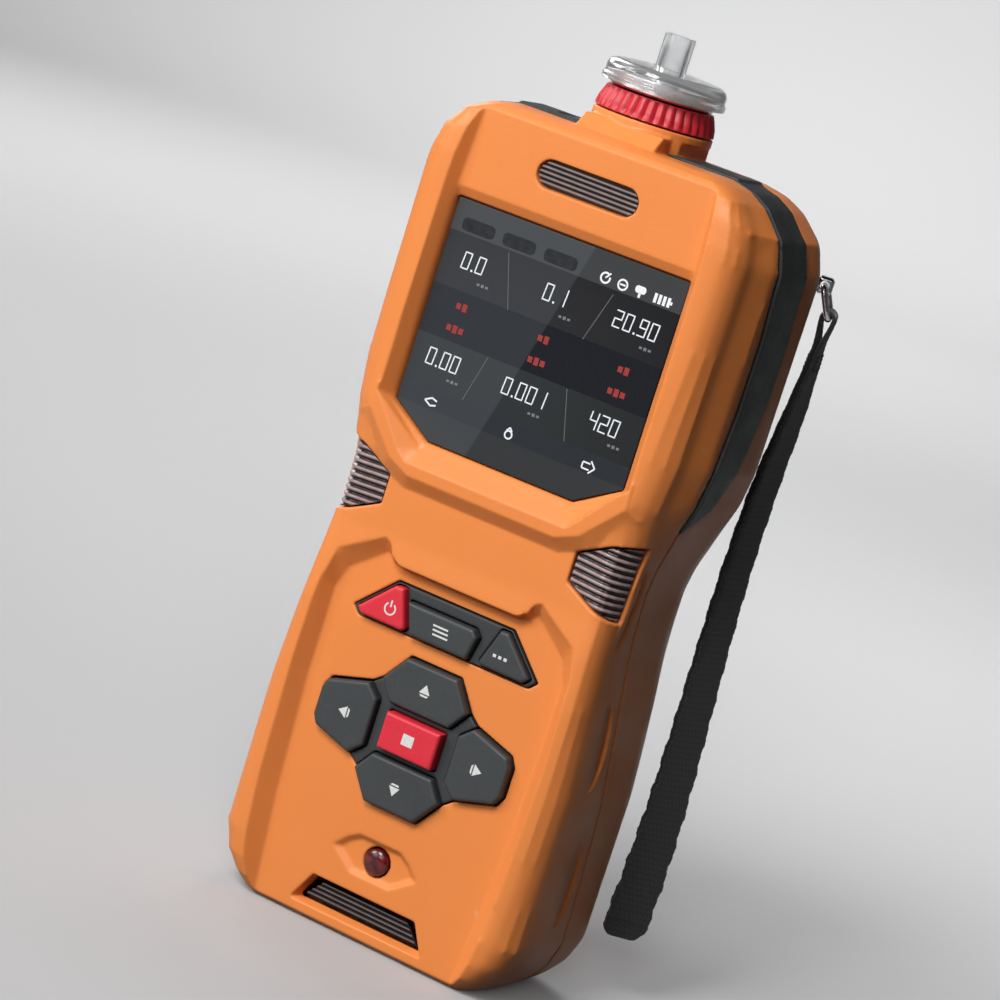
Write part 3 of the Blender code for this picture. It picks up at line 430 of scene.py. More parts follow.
ORANGE = (0.90, 0.278, 0.068)
MATERIALS = {
    "orange_shell": moulded("orange_shell", ORANGE, 0.36, 0.50, Specular_IOR_Level=0.35),
    "black_bumper": rubber("black_bumper", (0.022, 0.026, 0.027), 0.50, 0.68),
    "display_glass": display_glass(),
    "display_panel": moulded("display_panel", (0.03, 0.035, 0.04), 0.25, 0.4),
    "grey_foam": rubber("grey_foam", (0.06, 0.06, 0.06), 0.8, 0.95, grain=1500, depth=0.08),
    "black_key": rubber("black_key", (0.041, 0.046, 0.048), 0.42, 0.58, depth=0.012, dust=0.02),
    "red_key": rubber("red_key", (0.78, 0.030, 0.052), 0.34, 0.50, depth=0.012, dust=0.03),
    "keypad_rubber": rubber("keypad_rubber", (0.030, 0.034, 0.036), 0.5, 0.65, dust=0.02),
    "alarm_lens": lens_plastic(),
    "grille_plastic": grille_plastic("grille_plastic", 1.1),
    "red_lens": red_lens(),
    "red_ring": moulded("red_ring", (0.60, 0.022, 0.036), 0.30, 0.46, grain=4000, depth=0.015),
    "bright_metal": metal("bright_metal", (0.93, 0.93, 0.94), 0.24, 0.36, (1.0, 1.0, 12.0)),
    "clear_plastic": clear_plastic(),
    "white_membrane": rubber("white_membrane", (0.82, 0.82, 0.80), 0.8, 0.95, grain=2200,
                             depth=0.05, dust=0.0),
    "seal_rubber": rubber("seal_rubber", (0.014, 0.014, 0.014), 0.55, 0.75),
    "circuit_board": circuit_board(),
    "sensor_can": metal("sensor_can", (0.62, 0.62, 0.63), 0.25, 0.42, (1.0, 8.0, 1.0)),
    "pump_plastic": moulded("pump_plastic", (0.06, 0.06, 0.065), 0.4, 0.6),
    "motor_steel": metal("motor_steel", (0.56, 0.56, 0.58), 0.24, 0.38, (1.0, 1.0, 10.0)),
    "silicone_tube": rubber("silicone_tube", (0.70, 0.70, 0.66), 0.35, 0.5, dust=0.0),
    "battery_wrap": moulded("battery_wrap", (0.02, 0.06, 0.20), 0.22, 0.4, depth=0.01),
    "screw_steel": metal("screw_steel", (0.45, 0.45, 0.47), 0.22, 0.40),
    "strap_fabric": webbing(),
    "ring_wire": metal("ring_wire", (0.62, 0.62, 0.64), 0.12, 0.24, (8.0, 8.0, 1.0)),
}


def ink(name, colour, glow=0.0):
    """Printed or lit marks: even colour broken by the print's fine dots."""
    paint = Paint(name, colour, 0.3)
    dots = paint.cells(5200)
    paint.tint(paint.span(dots, 0.2, 0.8), colour, shade(colour, 0.8))
    paint.rough(paint.noise(600, 2), 0.2, 0.4)
    if glow:
        paint.set("Emission Color", (*colour, 1.0))
        paint.set("Emission Strength", glow)
    return paint.material


INKS = {
    "white_print": ink("white_print", (0.88, 0.88, 0.86)),
    "display_white": ink("display_white", (0.80, 0.83, 0.86), 0.25),
    "display_grey": ink("display_grey", (0.20, 0.22, 0.24), 0.05),
    "display_dark": ink("display_dark", (0.012, 0.014, 0.018)),
    "display_line": ink("display_line", (0.16, 0.14, 0.14), 0.05),
    "display_red": ink("display_red", (0.34, 0.035, 0.030), 0.10),
}


# ------------------------------ piece making
def add_piece(name, mesh, body, slot, material=None, stands_for=(), smooth=35.0):
    obj = linked_object(name, mesh)
    mesh.materials.clear()
    mesh.materials.append(material or MATERIALS[slot])
    mesh.shade_smooth()
    if smooth:
        mesh.set_sharp_from_angle(angle=math.radians(smooth))
    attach(obj, body)
    if stands_for:
        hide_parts(*stands_for)
    return obj


def box_mm(node):
    """The low and high corners of a CAD node's box, in millimetres."""
    return [Vector(corner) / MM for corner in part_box(node)]


def mesh_from(bm, name):
    """Turn a bmesh in millimetres into a mesh in metres."""
    bmesh.ops.recalc_face_normals(bm, faces=bm.faces)
    bmesh.ops.scale(bm, verts=bm.verts, vec=(MM, MM, MM))
    mesh = bpy.data.meshes.new(name)
    bm.to_mesh(mesh)
    bm.free()
    return mesh


def skin(bm, rings):
    """Faces between each ring of vertices and the next."""
    for a, b in zip(rings, rings[1:]):
        for i in range(len(a)):
            j = (i + 1) % len(a)
            bm.faces.new((a[i], a[j], b[j], b[i]))


def evaluated_mesh(obj):
    """The object's mesh with its modifiers applied; the object itself is removed."""
    graph = bpy.context.evaluated_depsgraph_get()
    mesh = bpy.data.meshes.new_from_object(obj.evaluated_get(graph))
    bpy.data.objects.remove(obj, do_unlink=True)
    return mesh


def crease_points(bm, angle, spacing):
    """Points along the edges that are sharper than angle, in degrees."""
    limit = math.radians(angle)
    tiny = (0.01 * MM) ** 2
    points = []
    for edge in bm.edges:
        if len(edge.link_faces) != 2 or min(f.calc_area() for f in edge.link_faces) < tiny:
            continue
        if edge.calc_face_angle(0.0) < limit:
            continue
        start, end = edge.verts[0].co, edge.verts[1].co
        count = max(1, int((end - start).length / spacing))
        points += [start.lerp(end, k / count) for k in range(count + 1)]
    return points


def near_crease(places, points, hold, free):
    """0 next to a crease, rising to 1 at the distance free, for each place."""
    if not points:
        return np.ones(len(places))
    tree = KDTree(len(points))
    for index, point in enumerate(points):
        tree.insert(point, index)
    tree.balance()
    far = np.array([tree.find(place)[2] for place in places])
    part = np.clip((far - hold) / (free - hold), 0.0, 1.0)
    return part * part * (3 - 2 * part)


def vertex_vectors(mesh, name):
    """Each vertex's place ("co") or normal, as rows."""
    values = np.empty(len(mesh.vertices) * 3)
    mesh.vertices.foreach_get(name, values)
    return values.reshape(-1, 3)


class Relaxer:
    """Moves each vertex of a mesh towards the middle of its neighbours."""

    def __init__(self, mesh):
        self.mesh = mesh
        self.places = vertex_vectors(mesh, "co")
        edges = np.empty(len(mesh.edges) * 2, dtype=np.int64)
        mesh.edges.foreach_get("vertices", edges)
        edges = edges.reshape(-1, 2)
        both = np.concatenate([edges, edges[:, ::-1]])
        both = both[np.argsort(both[:, 0], kind="stable")]
        self.others = both[:, 1]
        self.counts = np.bincount(both[:, 0], minlength=len(self.places))
        self.starts = np.concatenate([[0], np.cumsum(self.counts)[:-1]])

    def relax(self, rounds, weight=1.0):
        for _ in range(rounds):
            middle = np.add.reduceat(self.places[self.others], self.starts) / self.counts[:, None]
            self.places += (middle - self.places) * 0.5 * weight

    def write(self):
        self.mesh.vertices.foreach_set("co", self.places.ravel())
        self.mesh.update()


def softened_mesh(node, voxel, relax, faces, rounding=3, crease=30.0, shape=None):
    """A CAD node's shape with moulded edges: creases rounded, facets of its rounds relaxed."""
    voxel = voxel * MM * 1.0
    bm = bmesh.new()
    bm.from_mesh(frame["nodes"][node].data)
    bmesh.ops.remove_doubles(bm, verts=bm.verts, dist=0.002 * MM)
    points = crease_points(bm, crease, voxel)
    mesh = bpy.data.meshes.new(node)
    bm.to_mesh(mesh)
    bm.free()
    obj = linked_object(f"{node}_soft", mesh)
    remesh = obj.modifiers.new("voxels", "REMESH")
    remesh.mode = "VOXEL"
    remesh.voxel_size = voxel
    mesh = evaluated_mesh(obj)
    relaxer = Relaxer(mesh)
    relaxer.relax(rounding)
    weight = near_crease(relaxer.places, points, voxel, voxel * 3.5)
    relaxer.relax(relax, weight[:, None])
    if shape:
        shape(relaxer)
    relaxer.write()
    mesh.calc_loop_triangles()
    count = len(mesh.loop_triangles)
    if count > faces:
        obj = linked_object(f"{node}_thin", mesh)
        thin = obj.modifiers.new("thin", "DECIMATE")
        thin.ratio = faces / count
        mesh = evaluated_mesh(obj)
    return mesh


def soften(node, body, slot, voxel, relax, faces, **options):
    mesh = softened_mesh(node, voxel, relax, faces, **options)
    obj = add_piece(f"{node}_moulding", mesh, body, slot, stands_for=[node], smooth=0)
    weighted = obj.modifiers.new("flat_faces_lead", "WEIGHTED_NORMAL")
    weighted.weight = 100
    return obj


# ------------------------------ the shells
def make_shells():
    soften("front_shell", "case", "orange_shell", 0.29, 44, 195000, rounding=2, crease=24.0)
    soften("rear_shell", "case", "orange_shell", 0.38, 34, 110000, rounding=2, crease=26.0)
    for side in ("left", "right"):
        soften(f"bumper_{side}", "case", "black_bumper", 0.32, 34, 34000, rounding=2)


# ------------------------------ the keys
KEY_BODIES = {"power_key": "power_button", "menu_key": "menu_button",
              "function_key": "function_button", "up_key": "up_button",
              "down_key": "down_button", "left_key": "left_button",
              "right_key": "right_button", "ok_key": "ok_button"}
# From the middle of each key's box to the middle of its mark, along x and z
MARK_SHIFTS = {"power_key": (1.5, -0.7), "menu_key": (0.3, 0.0), "function_key": (-1.4, -1.0),
               "up_key": (0.0, 0.2), "down_key": (0.0, -0.2), "left_key": (0.2, 0.0),
               "right_key": (-0.2, 0.0), "ok_key": (0.0, 0.0)}
ARROW_SIZE = 1.25


def prism(outlines, y_front, thick=0.06):
    """Thin plates facing -Y, one for each closed (x, z) outline."""
    bm = bmesh.new()
    for outline in outlines:
        front = [bm.verts.new((x, y_front, z)) for x, z in outline]
        back = [bm.verts.new((x, y_front + thick, z)) for x, z in outline]
        bm.faces.new(front)
        bm.faces.new(back[::-1])
        for i in range(len(outline)):
            j = (i + 1) % len(outline)
            bm.faces.new((front[i], front[j], back[j], back[i]))
    return bm


def bar(x0, z0, x1, z1, width):
    """A straight stroke as a closed outline."""
    along = Vector((x1 - x0, z1 - z0)).normalized()
    off = Vector((-along.y, along.x)) * width / 2
    return [(x0 + off.x, z0 + off.y), (x0 - off.x, z0 - off.y),
            (x1 - off.x, z1 - off.y), (x1 + off.x, z1 + off.y)]


def arc_band(x, z, radius, width, start, end):
    """A curved stroke: quads along an arc, angles in degrees."""
    quads, steps = [], 20
    inner, outer = radius - width / 2, radius + width / 2
    for k in range(steps):
        a = math.radians(start + (end - start) * k / steps)
        b = math.radians(start + (end - start) * (k + 1) / steps)
        quads.append([(x + r * math.cos(t), z + r * math.sin(t))
                      for r, t in ((inner, a), (outer, a), (outer, b), (inner, b))])
    return quads


def arrow(turn):
    """A solid triangle pointing at turn degrees from +X, with a notch line at its foot."""
    c, s = math.cos(math.radians(turn)), math.sin(math.radians(turn))
    head = [(1.0, 0.0), (-0.45, 0.95), (-0.45, -0.95)]
    foot = [(-0.95, 0.55), (-0.95, -0.55), (-0.65, -0.8), (-0.65, 0.8)]
    return [[(ARROW_SIZE * (u * c - v * s), ARROW_SIZE * (u * s + v * c)) for u, v in outline]
            for outline in (head, foot)]


def key_marks():
    """Generic marks printed on the keys: outlines round each key's own middle."""
    power = arc_band(0, 0, 1.15, 0.34, 125, 415) + [bar(0, 0.35, 0, 1.7, 0.34)]
    menu = [bar(-1.7 + 0.2 * k, 0.85 - 0.85 * k, 1.7 + 0.2 * k, 0.85 - 0.85 * k, 0.36)
            for k in range(3)]
    function = [bar(-1.5 + 1.2 * k, 0, -0.8 + 1.2 * k, 0, 0.6) for k in range(3)]
    square = [[(-1.25, -1.1), (1.25, -1.1), (1.25, 1.1), (-1.25, 1.1)]]
    return {"power_key": power, "menu_key": menu, "function_key": function,
            "up_key": arrow(90), "down_key": arrow(-90), "left_key": arrow(180),
            "right_key": arrow(0), "ok_key": square}


def make_keys():
    marks = key_marks()
    for node, body in KEY_BODIES.items():
        slot = "red_key" if node in ("power_key", "ok_key") else "black_key"
        soften(node, body, slot, 0.14, 8, 9000, rounding=9)
        low, high = box_mm(node)
        shift_x, shift_z = MARK_SHIFTS[node]
        x = (low.x + high.x) / 2 + shift_x
        z = (low.z + high.z) / 2 + shift_z
        outlines = [[(x + u, z + v) for u, v in outline] for outline in marks[node]]
        mesh = mesh_from(prism(outlines, low.y - 0.01), f"{node}_mark")
        add_piece(f"{node}_mark", mesh, body, slot, INKS["white_print"])
    soften("keypad_mat", "case", "keypad_rubber", 0.24, 6, 26000)


# ------------------------------ lenses and grilles
RIB_PITCH = 1.4
RIB_DEPTH = 0.55
RIB_SLANT = 0.06               # how much lower the ribs run for each millimetre outwards


def add_rib_attribute(mesh, values):
    layer = mesh.attributes.new("rib", "FLOAT", "POINT")
    layer.data.foreach_set("value", np.asarray(values, dtype=np.float32))


def rib_height(places, side):
    """1 on a rib's crest and 0 in the groove; places in metres, side -1 at the left."""
    level = places[:, 2] + places[:, 0] * side * RIB_SLANT
    wave = 0.5 + 0.5 * np.cos(2 * np.pi * level / (RIB_PITCH * MM))
    return wave ** 0.7


def ribbed(relaxer):
    """Press the lens's outer surface in between its ribs."""
    places = relaxer.places
    relaxer.write()
    normals = vertex_vectors(relaxer.mesh, "normal")
    side = np.sign(places[:, 0].mean())
    outward = np.clip(normals[:, 0] * side * 0.9 - normals[:, 1] * 0.8, 0.0, 1.0)
    press = (1 - rib_height(places, side)) * RIB_DEPTH * MM
    relaxer.places = places - normals * (press * np.clip(outward * 2, 0, 1))[:, None]


def make_lenses():
    for side, sign in (("left", -1), ("right", 1)):
        node = f"alarm_lens_{side}"
        obj = soften(node, "case", "alarm_lens", 0.17, 14, 40000, shape=ribbed)
        add_rib_attribute(obj.data, rib_height(vertex_vectors(obj.data, "co"), sign))


SLAT_DEPTH = 0.75


def slatted(name, node, centres, slat, slope=0.0, material=None):
    """A grille plate with rounded slats, slat being half their height, in the CAD outline."""
    low, high = box_mm(node)
    steps, rows = 64, 90
    bm = bmesh.new()
    heights, grid = [], []
    for j in range(rows + 1):
        z = low.z + (high.z - low.z) * j / rows
        half = outline_half(node, z)
        row = []
        for i in range(steps + 1):
            x = -half + 2 * half * i / steps
            near = min(abs(z + slope * x - c) for c in centres) / slat
            crest = math.sqrt(max(0.0, 1.0 - near * near))
            row.append(bm.verts.new((x, low.y + SLAT_DEPTH * (1 - crest), z)))
            heights.append(crest)
        grid.append(row)
    for a, b in zip(grid, grid[1:]):
        for i in range(steps):
            bm.faces.new((a[i], a[i + 1], b[i + 1], b[i]))
    rim = [edge for edge in bm.edges if edge.is_boundary]
    made = bmesh.ops.extrude_edge_only(bm, edges=rim)["geom"]
    back = [v for v in made if isinstance(v, bmesh.types.BMVert)]
    for vert in back:
        vert.co.y = high.y
        heights.append(0.0)
    bmesh.ops.contextual_create(bm, geom=[e for e in bm.edges if e.is_boundary])
    mesh = mesh_from(bm, name)
    add_rib_attribute(mesh, heights)
    add_piece(name, mesh, "case", "grille_plastic", material, stands_for=[node])


def outline_half(node, z):
    """Half the width of a grille at height z: a pill above, a trapezium below."""
    low, high = box_mm(node)
    if node == "sounder_grille":
        radius = (high.z - low.z) / 2
        off = min(abs(z - (low.z + high.z) / 2), radius * 0.995)
        return high.x - radius + math.sqrt(radius * radius - off * off)
    taper = 3.2                # how much shorter each end is at the top
    return high.x - taper * (z - low.z) / (high.z - low.z)


def make_grilles():
    slatted("sounder_grille_slats", "sounder_grille", [149.9 + 0.92 * k for k in range(5)], 0.36,
            slope=0.01)
    # The lower grille gets a darker copy of the grille plastic: painted shade
    slatted("lower_grille_slats", "lower_grille", [4.9 + 0.95 * k for k in range(4)], 0.28,
            material=grille_plastic("painted_shade_grille_plastic", 0.55))


# ------------------------------ turned pieces
INLET_Y = 2.5                  # the inlet's axis is at x = 0
RING_RIBS = 36
RING_BORE = 9.4                # the ring's inner radius
KNURL_DEPTH = 0.5
TUBE_TOP = 182.8


def filleted(profile, radius):
    """Round every corner of a closed (r, z) profile."""
    result, steps = [], 4
    for before, here, after in zip(profile[-1:] + profile[:-1], profile, profile[1:] + profile[:1]):
        here, before, after = Vector(here), Vector(before), Vector(after)
        back, ahead = before - here, after - here
        reach = min(radius, back.length * 0.45, ahead.length * 0.45)
        start = here + back.normalized() * reach
        end = here + ahead.normalized() * reach
        for k in range(steps + 1):
            t = k / steps
            point = start * (1 - t) ** 2 + here * 2 * t * (1 - t) + end * t ** 2
            result.append((point.x, point.y))
    return result


def lathe(profile, steps, swell=lambda turn, r, z: 0.0):
    """Spin a closed (radius, z) profile about the inlet's axis; swell adds to the radius."""
    bm = bmesh.new()
    rings = []
    for k in range(steps):
        turn = 2 * math.pi * k / steps
        wide = [(r + swell(turn, r, z), z) for r, z in profile]
        rings.append([bm.verts.new((r * math.cos(turn), INLET_Y + r * math.sin(turn), z))
                      for r, z in wide])
    skin(bm, rings + rings[:1])
    return bm


def make_ring():
    low, high = box_mm("knurled_ring")
    bottom, top, outer = low.z, high.z, high.x

    def knurl(turn, r, z):
        """Rounded ribs on the outside, fading out at the top and bottom rims."""
        if r < RING_BORE + 0.5:
            return 0.0
        fade = min(1.0, (z - bottom) / 0.5, (top - z) / 0.5)
        wave = abs(math.cos(turn * RING_RIBS / 2))
        return -KNURL_DEPTH * fade * (1 - wave) ** 0.8

    profile = filleted([(RING_BORE, bottom), (outer, bottom), (outer - 0.25, bottom + 1.6),
                        (outer - 1.25, top), (RING_BORE, top)], 0.25)
    dense = []                 # the profile with a point every half millimetre
    for here, there in zip(profile, profile[1:] + profile[:1]):
        pieces = max(1, int((Vector(there) - Vector(here)).length / 0.5))
        dense += [(here[0] + (there[0] - here[0]) * k / pieces,
                   here[1] + (there[1] - here[1]) * k / pieces) for k in range(pieces)]
    mesh = mesh_from(lathe(dense, RING_RIBS * 10, swell=knurl), "ring")
    add_piece("knurled_ring_ribs", mesh, "ring", "red_ring", stands_for=["knurled_ring"], smooth=50)


def make_filter_head():
    """The turned pieces: (radius, z) profiles, the rounding of their corners, and slots."""
    base = box_mm("filter_base")[0].z
    turned = {
        "filter_base": ([(1.6, base), (9.9, base), (10.5, base + 0.5), (10.8, base + 3.0),
                         (9.9, base + 3.0), (9.6, base + 1.2), (3.2, base + 1.2),
                         (1.6, base + 1.5)], 0.22, "bright_metal"),
        "filter_membrane": ([(0.4, base + 1.8), (9.2, base + 1.8), (9.2, base + 2.4),
                             (0.4, base + 2.4)], 0.12, "white_membrane"),
        "filter_cover": ([(11.15, base + 0.6), (11.9, base + 0.6), (12.2, base + 0.9),
                          (12.2, base + 1.7), (11.8, base + 2.1), (11.8, base + 3.5),
                          (11.3, base + 4.5), (10.1, base + 5.0), (3.3, base + 5.6),
                          (3.3, base + 4.4), (9.8, base + 3.9), (10.7, base + 3.4),
                          (11.15, base + 2.7)], 0.30, "clear_plastic"),
        "hose_stub": ([(2.0, base + 3.0), (3.0, base + 3.0), (3.0, TUBE_TOP), (2.0, TUBE_TOP)],
                      0.18, "clear_plastic"),
    }
    for node, (profile, radius, slot) in turned.items():
        mesh = mesh_from(lathe(filleted(profile, radius), 128), node)
        add_piece(f"{node}_turned", mesh, "filter_head", slot, stands_for=[node])


# ------------------------------ the display
GLASS_Y = -14.9
LAYER_STEP = 0.012             # each layer of the picture stands this much before the last
COLUMNS = (-18.3, 0.0, 17.6)
READINGS = ((("0.0", "0.1", "20.90"), 131.0, 127.5), (("0.00", "0.001", "420"), 111.7, 108.4))
SEGMENTS = {"0": "abcdef", "1": "bc", "2": "abged", "4": "fgbc", "9": "abcdfg"}
DIGIT_HIGH, DIGIT_WIDE, STROKE = 3.1, 1.45, 0.25
DIGIT_LEAN = 0.08
DIGIT_PITCH, POINT_PITCH = 2.25, 0.9
STROKE_OVERLAP = 0.12


def digit(char, x, z):
    """Strokes of one thin, slightly leaning digit centred at x, z."""
    w, h = DIGIT_WIDE / 2, DIGIT_HIGH / 2
    ends = {"a": (-w, h, w, h), "b": (w, h, w, 0), "c": (w, 0, w, -h), "d": (-w, -h, w, -h),
            "e": (-w, 0, -w, -h), "f": (-w, h, -w, 0), "g": (-w, 0, w, 0)}
    strokes = []
    for segment in SEGMENTS[char]:
        x0, z0, x1, z1 = ends[segment]
        dx = STROKE_OVERLAP if x1 > x0 else 0
        dz = -STROKE_OVERLAP if z1 < z0 else 0
        strokes.append(bar(x + x0 - dx + DIGIT_LEAN * z0, z + z0 - dz,
                           x + x1 + dx + DIGIT_LEAN * z1, z + z1 + dz, STROKE))
    return strokes


def number(text, x, z):
    widths = [POINT_PITCH if char == "." else DIGIT_PITCH for char in text]
    at = x - sum(widths) / 2
    strokes = []
    for char, width in zip(text, widths):
        middle = at + width / 2
        if char == ".":
            strokes.append(bar(middle - 0.2, z - 1.5, middle + 0.2, z - 1.5, 0.4))
        else:
            strokes += digit(char, middle, z)
        at += width
    return strokes


def dashes(x, z, count, pitch, wide, high):
    """A row of short blocks in place of a word."""
    start = x - pitch * (count - 1) / 2
    return [bar(start + pitch * k - wide / 2, z, start + pitch * k + wide / 2, z,
                high * (1.0 if k % 2 else 0.75)) for k in range(count)]


def rounded_box(x, z, half_x, half_z, radius):
    outline, steps = [], 5
    for quarter, (sx, sz) in enumerate(((1, 1), (-1, 1), (-1, -1), (1, -1))):
        for k in range(steps + 1):
            turn = math.pi / 2 * (quarter + k / steps)
            outline.append((x + sx * (half_x - radius) + radius * math.cos(turn),
                            z + sz * (half_z - radius) + radius * math.sin(turn)))
    return outline


def make_display():
    layers = {name: [] for name in INKS}
    for texts, z, unit_z in READINGS:
        for text, x in zip(texts, COLUMNS):
            layers["display_white"] += number(text, x, z)
            layers["display_grey"] += dashes(x + 3.2, unit_z, 3, 0.95, 0.6, 0.6)
    for x in COLUMNS:
        for z, count in ((122.4, 2), (118.0, 3)):
            layers["display_red"] += dashes(x + 0.4, z, count, 1.35, 1.0, 1.5)
    for k, x in enumerate((-19.5, -10.4, -1.2)):
        layers["display_dark"].append(rounded_box(x, 137.5, 3.6, 1.25, 0.9))
        layers["display_grey"] += dashes(x, 137.5, 3 + k % 2, 1.15, 0.75, 0.9)
    lines = ((-11.9, 135.3, -8.5, 125.1), (11.3, 134.9, 8.1, 125.1), (-9.4, 115.4, -11.9, 106.0),
             (8.2, 115.4, 10.9, 106.0))
    layers["display_line"] += [bar(*ends, 0.16) for ends in lines]
    white = layers["display_white"]      # first the status signs, then the signs at the bottom
    white += arc_band(8.7, 137.3, 0.95, 0.38, 60, 380) + [bar(8.7, 137.3, 9.6, 138.4, 0.3)]
    white += arc_band(12.5, 137.2, 0.95, 0.36, 0, 360) + [bar(11.9, 137.2, 13.1, 137.2, 0.34)]
    white += [rounded_box(16.3, 137.5, 1.15, 0.7, 0.6), bar(16.3, 136.0, 16.3, 137.0, 0.5)]
    white += [bar(19.6 + 0.95 * k, 136.2, 19.6 + 0.95 * k, 138.0, 0.62) for k in range(4)]
    white += [bar(23.0, 136.8, 23.0, 137.4, 0.4)]
    white += [bar(-19.5, 103.5, -18.0, 104.3, 0.32), bar(-19.5, 103.5, -18.0, 102.7, 0.32),
              bar(-18.2, 104.3, -16.9, 103.9, 0.32), bar(-18.2, 102.7, -16.9, 103.1, 0.32)]
    white += arc_band(-0.5, 103.2, 0.75, 0.32, 0, 360) + [bar(-1.1, 103.9, -0.5, 104.6, 0.3),
                                                          bar(0.1, 103.9, -0.5, 104.6, 0.3)]
    white += [bar(15.9, 103.9, 17.5, 103.9, 0.3), bar(15.9, 102.7, 17.5, 102.7, 0.3),
              bar(15.9, 103.9, 15.9, 102.7, 0.3), bar(17.5, 104.5, 18.6, 103.3, 0.3),
              bar(17.5, 102.1, 18.6, 103.3, 0.3)]
    depth = 0.0
    for name, outlines in layers.items():
        if outlines:
            depth += LAYER_STEP
            mesh = mesh_from(prism(outlines, GLASS_Y - depth, 0.05 + depth), name)
            add_piece(name.replace("display", "display_picture"), mesh, "case", "display_glass",
                      INKS[name])


# ------------------------------ the strap
STRAP_WIDTH = 9.0
# Each point of the strap's middle line, and the webbing's turn about Z there, in degrees
STRAP_ROUTE = ((38.4, 21.9, 139.7), (38.3, 21.9, 132.0), (38.0, 21.8, 122.0), (37.2, 21.6, 108.0),
               (37.0, 21.5, 92.0), (37.5, 21.5, 74.0), (38.3, 21.6, 56.0), (38.8, 21.7, 40.0),
               (38.8, 21.7, 26.0), (38.3, 21.6, 12.6))
STRAP_TURNS = (20.0, 13.0, 2.0, -7.0, -11.0, -16.0, -24.0, -34.0, -45.0, -55.0)
BAR_Z = 140.88                 # the ring's lower bar, which the webbing goes round
BAR_RADIUS = 0.65
LAYER = 0.9                    # thickness of one layer of webbing
LAYER_OFFSET = 0.5
END_ROUND = 3.2                # radius of the webbing's lower corners
NECK_Z = 135.0                 # above this the two layers spread to go round the bar
PICK, YARN = 1.15, 0.92        # pitch of the weave along and across the webbing


def strap_axes(turn):
    """The directions out of and across the webbing, turned about Z by turn radians."""
    return (Vector((math.cos(turn), math.sin(turn), 0.0)),
            Vector((-math.sin(turn), math.cos(turn), 0.0)))


def strap_middle(z):
    """The strap's middle at height z, and its turn in radians, on a smooth curve."""
    heights = np.array([point[2] for point in STRAP_ROUTE])[::-1]
    values = np.array([(x, y, turn) for (x, y, _), turn in zip(STRAP_ROUTE, STRAP_TURNS)])[::-1]
    slopes = np.gradient(values, heights, axis=0)
    z = min(max(z, heights[0]), heights[-1])
    k = min(int(np.searchsorted(heights, z, side="right")) - 1, len(heights) - 2)
    gap = heights[k + 1] - heights[k]
    t = (z - heights[k]) / gap
    x, y, turn = (values[k] * (1 + 2 * t) * (1 - t) ** 2 + slopes[k] * gap * t * (1 - t) ** 2
                  + values[k + 1] * t * t * (3 - 2 * t) - slopes[k + 1] * gap * t * t * (1 - t))
    return x, y, math.radians(turn)


def strap_line():
    """The webbing's own line, as (offset from the middle, height): round the bar and the fold."""
    low = STRAP_ROUTE[-1][2]
    radius = BAR_RADIUS + 0.12 + LAYER / 2
    fold_z = low + LAYER_OFFSET + LAYER / 2
    step = 0.24
    count = int((NECK_Z - fold_z) / step)
    ease, arc, fold = 18, 20, 10
    line = [(LAYER_OFFSET, fold_z + (NECK_Z - fold_z) * k / count) for k in range(count)]
    for k in range(ease):
        part = k / ease
        smooth = part * part * (3 - 2 * part)
        line.append((LAYER_OFFSET + (radius - LAYER_OFFSET) * smooth,
                     NECK_Z + (BAR_Z - NECK_Z) * part))
    line += [(radius * math.cos(math.pi * k / arc), BAR_Z + radius * math.sin(math.pi * k / arc))
             for k in range(arc)]
    mirrored = [(-off, z) for off, z in line[:count + ease][::-1]]
    line += [(-radius, BAR_Z)] + mirrored
    line += [(-LAYER_OFFSET * math.cos(math.pi * k / fold),
              fold_z - LAYER_OFFSET * math.sin(math.pi * k / fold)) for k in range(1, fold)]
    return line


